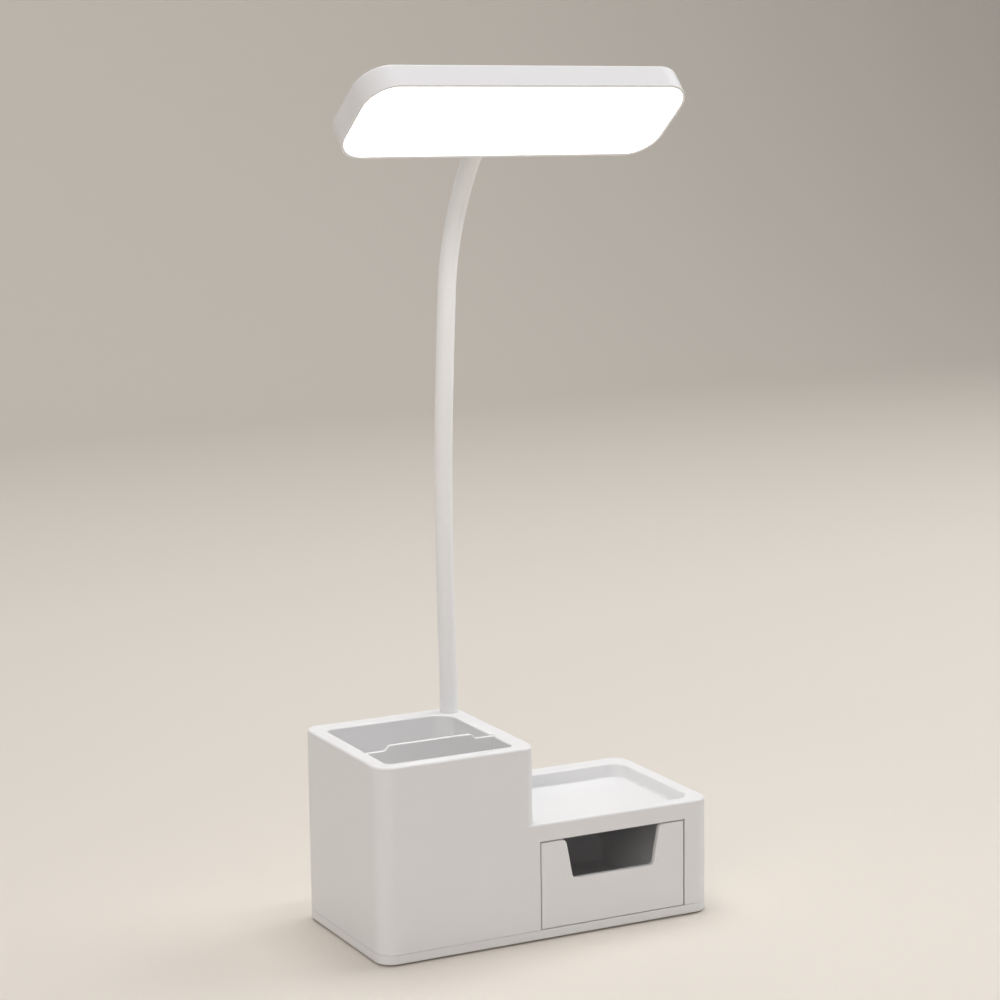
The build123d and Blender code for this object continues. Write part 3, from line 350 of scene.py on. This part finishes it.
@dataclass(frozen=True)
class BrushedMetal:
    """Metal with fine lines along one axis."""

    name: str
    colour: Colour
    roughness: float = 0.32
    lines: tuple[float, float, float] = (1.0, 14.0, 14.0)
    line_per_m: float = 380.0
    line_depth: float = 0.012 * MM
    line_strength: float = 0.5
    valley: float = 0.86
    smoother: float = 0.08
    rougher: float = 0.1

    def build(self) -> bpy.types.Material:
        """Makes the material."""
        graph = Graph(self.name)
        line = graph.noise(self.line_per_m, 3.0, self.lines)
        even = graph.spread(line, 0.0, 1.0)
        graph.join(graph.blend(even, tint(self.colour, self.valley), self.colour),
                   graph.shader.inputs["Base Color"])
        graph.join(graph.spread(line, self.roughness - self.smoother, self.roughness + self.rougher),
                   graph.shader.inputs["Roughness"])
        graph.bump(line, self.line_depth, self.line_strength)
        graph.set(metallic=1.0)
        return graph.material


@dataclass(frozen=True)
class SolderMask:
    """Circuit board lacquer: tracks stand out lighter over a darker ground."""

    name: str
    ground: Colour
    track: Colour
    pitch_per_m: float = 260.0
    track_width: float = 0.06
    track_depth: float = 0.03 * MM
    track_strength: float = 0.5
    bias: float = -0.2
    dark: float = 0.9
    gloss_per_m: float = 300.0
    gloss: tuple[float, float] = (0.28, 0.4)

    def build(self) -> bpy.types.Material:
        """Makes the material."""
        graph = Graph(self.name)
        cells = graph.add("ShaderNodeTexBrick")
        cells.offset = 0.5
        limits = {"Scale": self.pitch_per_m, "Mortar Size": self.track_width, "Bias": self.bias}
        for key, value in limits.items():
            cells.inputs[key].default_value = value
        cells.inputs["Color1"].default_value = (*self.ground, 1.0)
        cells.inputs["Color2"].default_value = (*tint(self.ground, self.dark), 1.0)
        cells.inputs["Mortar"].default_value = (*self.track, 1.0)
        graph.join(graph.place, cells.inputs["Vector"])
        graph.join(cells.outputs["Color"], graph.shader.inputs["Base Color"])
        graph.bump(cells.outputs["Fac"], self.track_depth, self.track_strength)
        shine = graph.spread(graph.noise(self.gloss_per_m), *self.gloss)
        graph.join(shine, graph.shader.inputs["Roughness"])
        return graph.material


@dataclass(frozen=True)
class ClearAcrylic:
    """Polished clear sheet with faint dots that throw the light out."""

    name: str
    colour: Colour = (0.95, 0.97, 1.0)
    dot_per_m: float = 550.0
    dot_roughness: float = 0.6
    clear_roughness: float = 0.06
    ior: float = 1.49

    def build(self) -> bpy.types.Material:
        """Makes the material."""
        graph = Graph(self.name)
        dots = graph.add("ShaderNodeTexVoronoi")
        dots.inputs["Scale"].default_value = self.dot_per_m
        dots.inputs["Randomness"].default_value = 0.0
        graph.join(graph.place, dots.inputs["Vector"])
        rough = graph.spread(dots.outputs["Distance"], self.dot_roughness, self.clear_roughness)
        graph.join(rough, graph.shader.inputs["Roughness"])
        graph.set(base_color=(*self.colour, 1.0), ior=self.ior, transmission_weight=1.0)
        return graph.material


@dataclass(frozen=True)
class OpalPanel:
    """Lit opal sheet: bright all over, a little weaker where its edge meets the wall."""

    name: str
    colour: Colour = (1.0, 0.995, 0.985)
    edge_glow: float = 1.6
    glow: float = 12.0
    edge_width: float = 0.25
    attribute: str = "edge"
    roughness: float = 0.5
    mottle: float = 0.97
    cloud_per_m: float = 35.0
    grain_per_m: float = 1800.0
    grain_depth: float = 0.02 * MM
    grain_strength: float = 0.3

    def build(self) -> bpy.types.Material:
        """Makes the material."""
        graph = Graph(self.name)
        edge = graph.add("ShaderNodeAttribute", attribute_name=self.attribute)
        ramp = graph.add("ShaderNodeMapRange", interpolation_type="SMOOTHSTEP")
        ramp.inputs["From Max"].default_value = self.edge_width
        ramp.inputs["To Min"].default_value = self.edge_glow
        ramp.inputs["To Max"].default_value = self.glow
        graph.join(edge.outputs["Fac"], ramp.inputs["Value"])
        graph.join(ramp.outputs["Result"], graph.shader.inputs["Emission Strength"])
        cloud = graph.spread(graph.noise(self.cloud_per_m, 2.0), 0.0, 1.0)
        graph.join(graph.blend(cloud, tint(self.colour, self.mottle), self.colour),
                   graph.shader.inputs["Base Color"])
        graph.bump(graph.noise(self.grain_per_m, 1.0), self.grain_depth, self.grain_strength)
        graph.set(emission_color=(*self.colour, 1.0), roughness=self.roughness)
        return graph.material


class Finish(Enum):
    """Every finish of the lamp, by what it covers."""

    WHITE = MouldedPlastic("white moulded plastic", (0.85, 0.85, 0.855))
    # Painted light: the divider is the housing's white plastic, given a lighter colour (0.91 against
    # 0.85) to stand in for light filling the pen cup.
    PARTITION = MouldedPlastic("frosted partition plastic painted lighter", (0.91, 0.91, 0.91), roughness=0.5)
    BUTTON = MouldedPlastic("button plastic", (0.74, 0.74, 0.75), roughness=0.36)
    BLACK = MouldedPlastic("black holder plastic", (0.022, 0.022, 0.025), roughness=0.5)
    CREAM = MouldedPlastic("cream connector plastic", (0.72, 0.68, 0.56), roughness=0.4)
    CHIP = MouldedPlastic("chip resin", (0.02, 0.02, 0.022), roughness=0.6, mottle=0.8)
    WRAP = MouldedPlastic("battery wrap", (0.05, 0.19, 0.42), roughness=0.25, mottle=0.9)
    FILM = MouldedPlastic("white reflector film", (0.92, 0.92, 0.92), roughness=0.3)
    LENS = MouldedPlastic("frosted lens", (0.84, 0.87, 0.84), roughness=0.28)
    PHOSPHOR = MouldedPlastic("light chip phosphor", (0.90, 0.72, 0.18), roughness=0.35)
    NECK = Silicone("white neck silicone", (0.90, 0.90, 0.90))
    FOOT = Silicone("grey foot rubber", (0.16, 0.16, 0.165), roughness=0.7, speckle_per_m=1500.0)
    LEAD = Silicone("red lead jacket", (0.42, 0.02, 0.015), roughness=0.4)
    SCREW = BrushedMetal("zinc screw steel", (0.60, 0.60, 0.62))
    BALLAST = BrushedMetal("rolled ballast steel", (0.33, 0.34, 0.35), roughness=0.45)
    SPRING = BrushedMetal("nickel contact", (0.70, 0.69, 0.65), roughness=0.25)
    SOCKET = BrushedMetal("stamped socket steel", (0.66, 0.66, 0.67), lines=(14.0, 1.0, 14.0))
    PLATED = BrushedMetal("plated neck fitting", (0.78, 0.78, 0.79), roughness=0.15)
    CORE = BrushedMetal("wound neck core", (0.42, 0.42, 0.43), lines=(1.0, 1.0, 26.0))
    BOARD = SolderMask("green board lacquer", (0.012, 0.11, 0.03), (0.03, 0.2, 0.07))
    LED_BOARD = SolderMask("white board lacquer", (0.82, 0.82, 0.8), (0.7, 0.69, 0.66))
    ACRYLIC = ClearAcrylic("light guide acrylic")
    OPAL = OpalPanel("lit opal panel")

    @property
    def material(self) -> bpy.types.Material:
        """The finish's material, made when it is first asked for."""
        found = bpy.data.materials.get(self.value.name)
        return found or self.value.build()


def dress(piece: bpy.types.Object, finish: Finish) -> None:
    """Puts one finish on every slot of an object."""
    slots = piece.data.materials
    if not slots:
        slots.append(finish.material)
    for index in range(len(slots)):
        slots[index] = finish.material


def settle(piece: bpy.types.Object, body: str, finish: Finish, nodes: Iterable[str]) -> None:
    """Gives a new piece its finish, hides the CAD nodes it stands in for, and hangs it on its body if
    one is given.
    """
    dress(piece, finish)
    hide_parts(*nodes)
    if body:
        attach(piece, body)
    LOG.info("built %s", piece.name)


# ---------------------------------------------------------------- sub-assemblies


@dataclass
class SubAssembly:
    """A group of CAD nodes that is dressed together; subclasses add their own pieces."""

    frame: dict

    def finishes(self) -> dict[Finish, Sequence[str]]:
        """The finish of each CAD node of the group."""
        return {}

    def build(self) -> None:
        """Makes the group's new pieces."""

    def make(self) -> None:
        """Dresses the CAD nodes and makes the new pieces."""
        for finish, nodes in self.finishes().items():
            for node in nodes:
                dress(self.frame["nodes"][node], finish)
        LOG.info("dressed %s", type(self).__name__)
        self.build()


@dataclass
class OrganiserBase(SubAssembly):
    """Housing with pen cup and tray, its cover and feet, the divider and the drawer."""

    pad_radius: float = 6.2 * MM
    pad_edge: float = 0.5 * MM
    pad_groove: float = 0.25 * MM
    pad_waves: float = 5.0
    pad_middle: float = 0.12
    edge_rows: int = 7
    sole_rows: int = 40

    def finishes(self) -> dict[Finish, Sequence[str]]:
        """The finish of each CAD node of the base."""
        return {
            Finish.WHITE: ("upper_housing", "bottom_cover", "drawer"),
            # The divider's finish is painted lighter than the housing to stand in for light inside the
            # pen cup.
            Finish.PARTITION: ("pen_divider",),
            Finish.FOOT: ("rubber_feet",),
            Finish.SCREW: ("cover_screws", "ballast_screws"),
            Finish.BALLAST: ("ballast_plate",),
        }

    def build(self) -> None:
        """Makes the foot pads: turned discs with a rounded edge and two shallow grooves."""
        low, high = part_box("rubber_feet")
        half_x = high[0] - self.pad_radius
        half_y = high[1] - self.pad_radius
        height = high[2] - low[2]
        edge = np.linspace(0.0, math.pi / 2, self.edge_rows)
        rounding = np.stack(
            [self.pad_radius - self.pad_edge * (1 - np.sin(edge)), self.pad_edge * (1 - np.cos(edge))],
            axis=-1,
        )
        reach = np.linspace(self.pad_middle, 1.0, self.sole_rows) * (self.pad_radius - self.pad_edge)
        phase = reach / self.pad_radius * self.pad_waves * math.pi
        wave = np.clip(np.cos(phase), 0.0, 1.0) * self.pad_groove
        wave[-1] = 0.0
        sole = np.stack([reach, wave], axis=-1)
        profile = np.concatenate([sole, rounding[1:], [[self.pad_radius, height]]])
        places = [(x, y) for y in (-half_y, half_y) for x in (-half_x, half_x)] + [(0.0, 0.0)]
        stacks = [turned(profile, np.array([x, y, low[2]]), AXIS_X, AXIS_Y) for x, y in places]
        pads = ring_mesh("foot_pads", stacks)
        settle(pads, "base", Finish.FOOT, ["rubber_feet"])


@dataclass
class BaseElectronics(SubAssembly):
    """Battery, control board, socket, button and indicator inside the base."""

    cap_radius: float = 3.2 * MM
    cap_round: float = 0.6 * MM
    dish: float = 0.25 * MM
    middle_radius: float = 0.1 * MM
    stem_radius: float = 1.5 * MM
    flange_depth: float = 3.2 * MM
    flange_thickness: float = 1.2 * MM
    rim_rows: int = 8
    face_rows: int = 14
    crease: float = 35.0

    def finishes(self) -> dict[Finish, Sequence[str]]:
        """The finish of each CAD node of the electronics."""
        return {
            Finish.BLACK: ("battery_holder", "power_switch"),
            Finish.WRAP: ("battery_cell",),
            Finish.SPRING: ("battery_contacts",),
            Finish.LEAD: ("battery_lead", "neck_lead_base"),
            Finish.BOARD: ("control_board",),
            Finish.SCREW: ("board_screws",),
            Finish.CHIP: ("board_components",),
            Finish.SOCKET: ("usb_socket",),
            Finish.LENS: ("indicator_light",),
            Finish.CREAM: ("lead_connector",),
            Finish.BUTTON: ("power_button",),
        }

    def build(self) -> None:
        """Makes the button cap: a turned plug with a rounded rim and a dished face."""
        low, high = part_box("power_button")
        centre = np.array([(low[0] + high[0]) / 2, 0.0, (low[2] + high[2]) / 2])
        edge = np.linspace(0.0, math.pi / 2, self.rim_rows)
        rim = np.stack(
            [self.cap_radius - self.cap_round * (1 - np.cos(edge)),
             high[1] - self.cap_round * (1 - np.sin(edge))],
            axis=-1,
        )
        inner = np.linspace(self.cap_radius - self.cap_round, self.middle_radius, self.face_rows)[1:]
        share = inner / (self.cap_radius - self.cap_round)
        face = np.stack([inner, high[1] - self.dish * (1 - share**2)], axis=-1)
        flange_radius = (high[0] - low[0]) / 2
        flange_back = high[1] - self.flange_depth
        flange_front = flange_back - self.flange_thickness
        body = np.array([
            [self.stem_radius, low[1]],
            [self.stem_radius, flange_front],
            [flange_radius, flange_front],
            [flange_radius, flange_back],
            [self.cap_radius, flange_back],
        ])
        profile = np.concatenate([body, rim, face])
        cap = ring_mesh("button_cap", [turned(profile, centre, AXIS_Z, AXIS_X)], smooth_ends=True)
        cap.data.set_sharp_from_angle(angle=math.radians(self.crease))
        settle(cap, "button", Finish.BUTTON, ["power_button"])


@dataclass
class GooseNeck(SubAssembly):
    """The bendable neck: one smooth skin over the stretches and their flexible rings."""

    radius: float = 4.4 * MM
    stretches: tuple[float, ...] = (33.0, 48.0, 52.0, 52.0, 42.5, 38.4)
    turns: tuple[float, ...] = (-2.0, 1.6, 3.8, 1.4, 19.6, 16.6)
    flex: float = 6.0
    root: float = 23.5
    tail: float = 7.0
    yaw: float = 6.75
    blend_reach: float = 12.0 * MM
    step: float = 0.8
    fine_step: float = 0.1
    sight: float = 0.5
    round_count: int = 48
    crease: float = 40.0
    bodies: tuple[str, ...] = ("base", "neck_2", "neck_3", "neck_4", "neck_5", "head")

    def finishes(self) -> dict[Finish, Sequence[str]]:
        """The finish of each CAD node of the neck."""
        numbers = range(1, len(self.stretches) + 1)
        return {
            Finish.NECK: [f"neck_sleeve_{k}" for k in numbers]
            + [f"neck_flex_{k}" for k in list(numbers)[:-1]],
            Finish.CORE: [f"neck_core_{k}" for k in numbers],
            Finish.LEAD: [f"neck_lead_{k}" for k in numbers],
            Finish.PLATED: ("neck_ferrule", "neck_washer", "neck_nut"),
        }

    def headings(self) -> tuple[np.ndarray, np.ndarray]:
        """Lengths along the neck where its bend changes, and the heading in degrees at each."""
        along = [-self.root, 0.0]
        heading = [0.0, 0.0]
        for index, (length, turn) in enumerate(zip(self.stretches, self.turns)):
            along.append(along[-1] + length)
            heading.append(heading[-1] + turn)
            straight = self.flex if index < len(self.stretches) - 1 else self.tail
            along.append(along[-1] + straight)
            heading.append(heading[-1])
        return np.array(along), np.array(heading)

    def centre_line(self, start: float, stop: float) -> tuple[np.ndarray, np.ndarray]:
        """Points and tangents of the neck between two lengths along it.

        The heading h(s) runs straight between its knots, and the point is
        foot + integral of (sin h forward + cos h up) ds, summed by the midpoint rule.

        Args:
            start: First length along the neck, in millimetres from the cup's rim.
            stop: Last length.

        Returns:
            Points in metres and unit tangents, both of shape (n, 3).
        """
        along, heading = self.headings()
        half = self.fine_step / 2
        fine = np.arange(along[0], along[-1] + half, self.fine_step)
        middle = np.radians(np.interp(fine[:-1] + half, along, heading))
        forward_reach = np.concatenate([[0.0], np.cumsum(np.sin(middle) * self.fine_step)])
        height = np.concatenate([[0.0], np.cumsum(np.cos(middle) * self.fine_step)])
        stations = np.linspace(start, stop, max(2, round((stop - start) / self.step)))
        low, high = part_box("neck_washer")
        rim_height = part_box("upper_housing")[1][2]
        foot = np.array([(low[0] + high[0]) / 2, (low[1] + high[1]) / 2, rim_height])
        yaw = math.radians(self.yaw)
        forward = np.array([math.sin(yaw), -math.cos(yaw), 0.0])
        zero = np.interp(0.0, fine, height)
        out = np.interp(stations, fine, forward_reach)[:, None] * MM * forward
        rise = (np.interp(stations, fine, height) - zero)[:, None] * MM * AXIS_Z
        turn = np.radians(np.interp(stations, along, heading))[:, None]
        return foot + out + rise, np.sin(turn) * forward + np.cos(turn) * AXIS_Z

    def build(self) -> None:
        """Makes a skin round each joint, from the middle of one stretch to the middle of the next."""
        along, _ = self.headings()
        starts = along[1:-1:2]
        middles = starts + np.array(self.stretches) / 2
        cuts = [along[0], *middles[1:-1], along[-1]]
        yaw = math.radians(self.yaw)
        side = np.array([math.cos(yaw), math.sin(yaw), 0.0])
        ring = circle(self.round_count)
        for index, (lower, upper) in enumerate(zip(self.bodies[:-1], self.bodies[1:])):
            centre, tangent = self.centre_line(cuts[index], cuts[index + 1])
            bow = np.cross(tangent, side)
            skin = (
                centre[:, None, :]
                + self.radius * ring[None, :, :1] * side
                + self.radius * ring[None, :, 1:] * bow[:, None, :]
            )
            piece = ring_mesh(f"neck_skin_{index + 1}", [skin])
            piece.data.set_sharp_from_angle(angle=math.radians(self.crease))
            nodes = [f"neck_sleeve_{index + 1}", f"neck_flex_{index + 1}"]
            if upper == self.bodies[-1]:
                nodes.append(f"neck_sleeve_{index + 2}")
            settle(piece, "", Finish.NECK, nodes)
            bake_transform(piece)


@dataclass
class LightHead(SubAssembly):
    """Flat head: shell, opal panel and the light engine behind it."""

    length: float = 171.4 * MM
    width: float = 47.6 * MM
    corner: float = 13.75 * MM
    thickness: float = 1.6 * MM
    edge_round: float = 0.5 * MM
    roll: float = 2.17
    tilt: float = 42.14
    yaw: float = 6.75
    middle_share: float = 0.02
    inner_share: float = 0.7
    inner_rows: int = 16
    outer_rows: int = 22
    edge_rows: int = 6
    crease: float = 50.0

    def finishes(self) -> dict[Finish, Sequence[str]]:
        """The finish of each CAD node of the head."""
        return {
            Finish.WHITE: ("head_shell", "head_frame"),
            Finish.SCREW: ("head_screws", "neck_set_screw"),
            Finish.LED_BOARD: ("led_board",),
            Finish.PHOSPHOR: ("led_chips",),
            Finish.ACRYLIC: ("light_guide",),
            Finish.FILM: ("reflector_sheet",),
            Finish.PLATED: ("neck_end_ferrule",),
            Finish.LEAD: ("head_lead",),
        }

    def axes(self) -> np.ndarray:
        """The head's own x, y and z as columns: roll about Y, then tilt about X, then yaw about Z."""
        turn = (
            Matrix.Rotation(math.radians(self.yaw), 3, "Z")
            @ Matrix.Rotation(-math.radians(self.tilt), 3, "X")
            @ Matrix.Rotation(math.radians(self.roll), 3, "Y")
        )
        return np.array(turn)

    def build(self) -> None:
        """Makes the opal panel: rings of one rounded outline that shrink towards the middle.

        The lit face is P(u, v) = v outline(u), the edge is a quarter circle, and the back is flat.
        """
        diffuser = self.frame["nodes"]["diffuser"].data
        points = np.empty(len(diffuser.vertices) * 3, np.float32)
        diffuser.vertices.foreach_get("co", points)
        axes = self.axes()
        local = points.reshape(-1, 3) @ axes
        centre = (local.min(axis=0) + local.max(axis=0)) / 2
        face_z = local[:, 2].min()
        outline = rounded_outline(self.length, self.width, self.corner)
        inner = rounded_outline(self.length - 2 * self.edge_round, self.width - 2 * self.edge_round,
                                self.corner - self.edge_round)
        share = np.concatenate([
            np.linspace(self.middle_share, self.inner_share, self.inner_rows),
            np.linspace(self.inner_share + self.middle_share, 1.0, self.outer_rows),
        ])
        face = np.concatenate(
            [share[:, None, None] * inner, np.full((len(share), len(inner), 1), 0.0)], axis=-1
        )
        quarter = np.linspace(0.0, math.pi / 2, self.edge_rows + 1)[1:, None]
        edge_xy = inner + np.sin(quarter)[:, :, None] * (outline - inner)
        edge_z = np.broadcast_to(((1 - np.cos(quarter)) * self.edge_round)[:, :, None],
                                 (*edge_xy.shape[:2], 1))
        edge = np.concatenate([edge_xy, edge_z], axis=-1)
        back = np.concatenate([outline, np.full((len(outline), 1), self.thickness)], axis=-1)[None]
        rings = np.concatenate([face, edge, back])[:, ::-1]
        rings = rings + np.array([centre[0], centre[1], face_z])
        panel = ring_mesh("opal_panel", [rings @ axes.T])
        panel.data.set_sharp_from_angle(angle=math.radians(self.crease))
        border = np.concatenate([1 - share, np.zeros(len(edge) + 1)])
        value = np.concatenate([np.repeat(border, len(outline)), [1.0, 0.0]]).astype(np.float32)
        layer = panel.data.attributes.new("edge", "FLOAT", "POINT")
        layer.data.foreach_set("value", value)
        settle(panel, "head", Finish.OPAL, ["diffuser"])


# ---------------------------------------------------------------- studio


@dataclass(frozen=True)
class SoftBox:
    """A square studio lamp that looks at the middle of the lamp."""

    side: Side
    place: tuple[float, float, float]
    size: float
    power: float
    colour: Colour = (1.0, 1.0, 1.0)

    def build(self, target: Vector) -> None:
        """Hangs the lamp and turns it to the target."""
        data = bpy.data.lights.new(f"softbox_{self.side.value}", "AREA")
        data.shape = "SQUARE"
        data.size = self.size
        data.energy = self.power
        data.color = self.colour
        lamp = bpy.data.objects.new(data.name, data)
        lamp.location = self.place
        lamp.rotation_euler = (target - Vector(self.place)).to_track_quat("-Z", "Y").to_euler()
        bpy.context.scene.collection.objects.link(lamp)


@dataclass
class Studio:
    """Plain pale floor and wall, soft lamps and the camera."""

    floor_reach: float = 4.0
    wall_distance: float = 1.6
    sweep_radius: float = 0.7
    sweep_rows: int = 24
    paper_roughness: float = 0.85
    paper_mottle: float = 0.985
    cloud_per_m: float = 1.2
    floor_colour: Colour = (0.76, 0.71, 0.64)
    world_colour: Colour = (0.97, 0.97, 1.0)
    world_strength: float = 0.33
    eye: tuple[float, float, float] = (-0.60888, -1.20420, 0.44446)
    yaw: float = 26.751
    pitch: float = 9.991
    roll: float = -0.7303
    focal_pixels: float = 2856.24
    picture_pixels: float = 1000.0
    sensor: float = 36.0
    far: float = 50.0
    target: tuple[float, float, float] = (0.0, 0.0, 0.2)
    lamps: tuple[SoftBox, ...] = (
        SoftBox(Side.LEFT, (-1.3, -1.3, 1.2), 1.2, 11.0, (1.0, 0.93, 0.88)),
        SoftBox(Side.RIGHT, (1.7, 0.1, 1.2), 1.4, 14.0),
        SoftBox(Side.ABOVE, (0.1, 0.35, 1.9), 1.2, 16.5),
    )

    def build_backdrop(self) -> None:
        """Makes the floor and wall as one sheet: flat, then a quarter circle, then upright."""
        bend = np.linspace(0.0, math.pi / 2, self.sweep_rows)
        flat = np.array([[-self.floor_reach, 0.0]])
        sweep = np.stack(
            [self.wall_distance + self.sweep_radius * np.sin(bend),
             self.sweep_radius * (1 - np.cos(bend))],
            axis=-1,
        )
        wall = np.array([[self.wall_distance + self.sweep_radius, self.floor_reach]])
        profile = np.concatenate([flat, sweep, wall])
        across = np.array([-self.floor_reach, self.floor_reach])
        grid = np.empty((len(profile), 2, 3))
        grid[..., 0] = across
        grid[..., 1] = profile[:, :1]
        grid[..., 2] = profile[:, 1:]
        rows = np.arange(len(profile) - 1) * 2
        faces = np.stack([rows, rows + 1, rows + 3, rows + 2], axis=-1)
        mesh = bpy.data.meshes.new("backdrop")
        mesh.from_pydata(grid.reshape(-1, 3).tolist(), [], faces.tolist())
        mesh.shade_smooth()
        sheet = bpy.data.objects.new("backdrop", mesh)
        bpy.context.scene.collection.objects.link(sheet)
        graph = Graph("backdrop paper")
        cloud = graph.spread(graph.noise(self.cloud_per_m, 2.0), 0.0, 1.0)
        graph.join(graph.blend(cloud, tint(self.floor_colour, self.paper_mottle), self.floor_colour),
                   graph.shader.inputs["Base Color"])
        graph.set(roughness=self.paper_roughness)
        mesh.materials.append(graph.material)

    def build_camera(self) -> None:
        """Places the camera: yaw from +Y, pitch down, then a small roll about its own axis."""
        yaw, pitch, roll = (math.radians(v) for v in (self.yaw, self.pitch, self.roll))
        level = math.cos(pitch)
        ahead = Vector((math.sin(yaw) * level, math.cos(yaw) * level, -math.sin(pitch)))
        right = Vector((math.cos(yaw), -math.sin(yaw), 0.0))
        up = right.cross(ahead)
        rolled_right = right * math.cos(roll) + up * math.sin(roll)
        rolled_up = up * math.cos(roll) - right * math.sin(roll)
        data = bpy.data.cameras.new("camera")
        data.sensor_width = self.sensor
        data.lens = self.focal_pixels / self.picture_pixels * self.sensor
        data.clip_end = self.far
        camera = bpy.data.objects.new("camera", data)
        turn = Matrix((rolled_right, rolled_up, -ahead)).transposed().to_4x4()
        camera.matrix_world = Matrix.Translation(self.eye) @ turn
        bpy.context.scene.collection.objects.link(camera)
        bpy.context.scene.camera = camera

    def build(self) -> None:
        """Makes the backdrop, lamps, world and camera."""
        self.build_backdrop()
        for lamp in self.lamps:
            lamp.build(Vector(self.target))
        world = bpy.data.worlds.new("studio")
        world.use_nodes = True
        background = world.node_tree.nodes["Background"]
        background.inputs["Color"].default_value = (*self.world_colour, 1.0)
        background.inputs["Strength"].default_value = self.world_strength
        bpy.context.scene.world = world
        self.build_camera()
        bpy.context.scene.view_settings.view_transform = "Standard"
        LOG.info("studio ready")


def main() -> None:
    """Loads the frame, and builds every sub-assembly and the studio."""
    logging.basicConfig(level=logging.INFO, format="%(name)s: %(message)s")
    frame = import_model()
    Studio().build()
    for group in (OrganiserBase, BaseElectronics, GooseNeck, LightHead):
        group(frame).make()


if __name__ == "__main__":
    main()
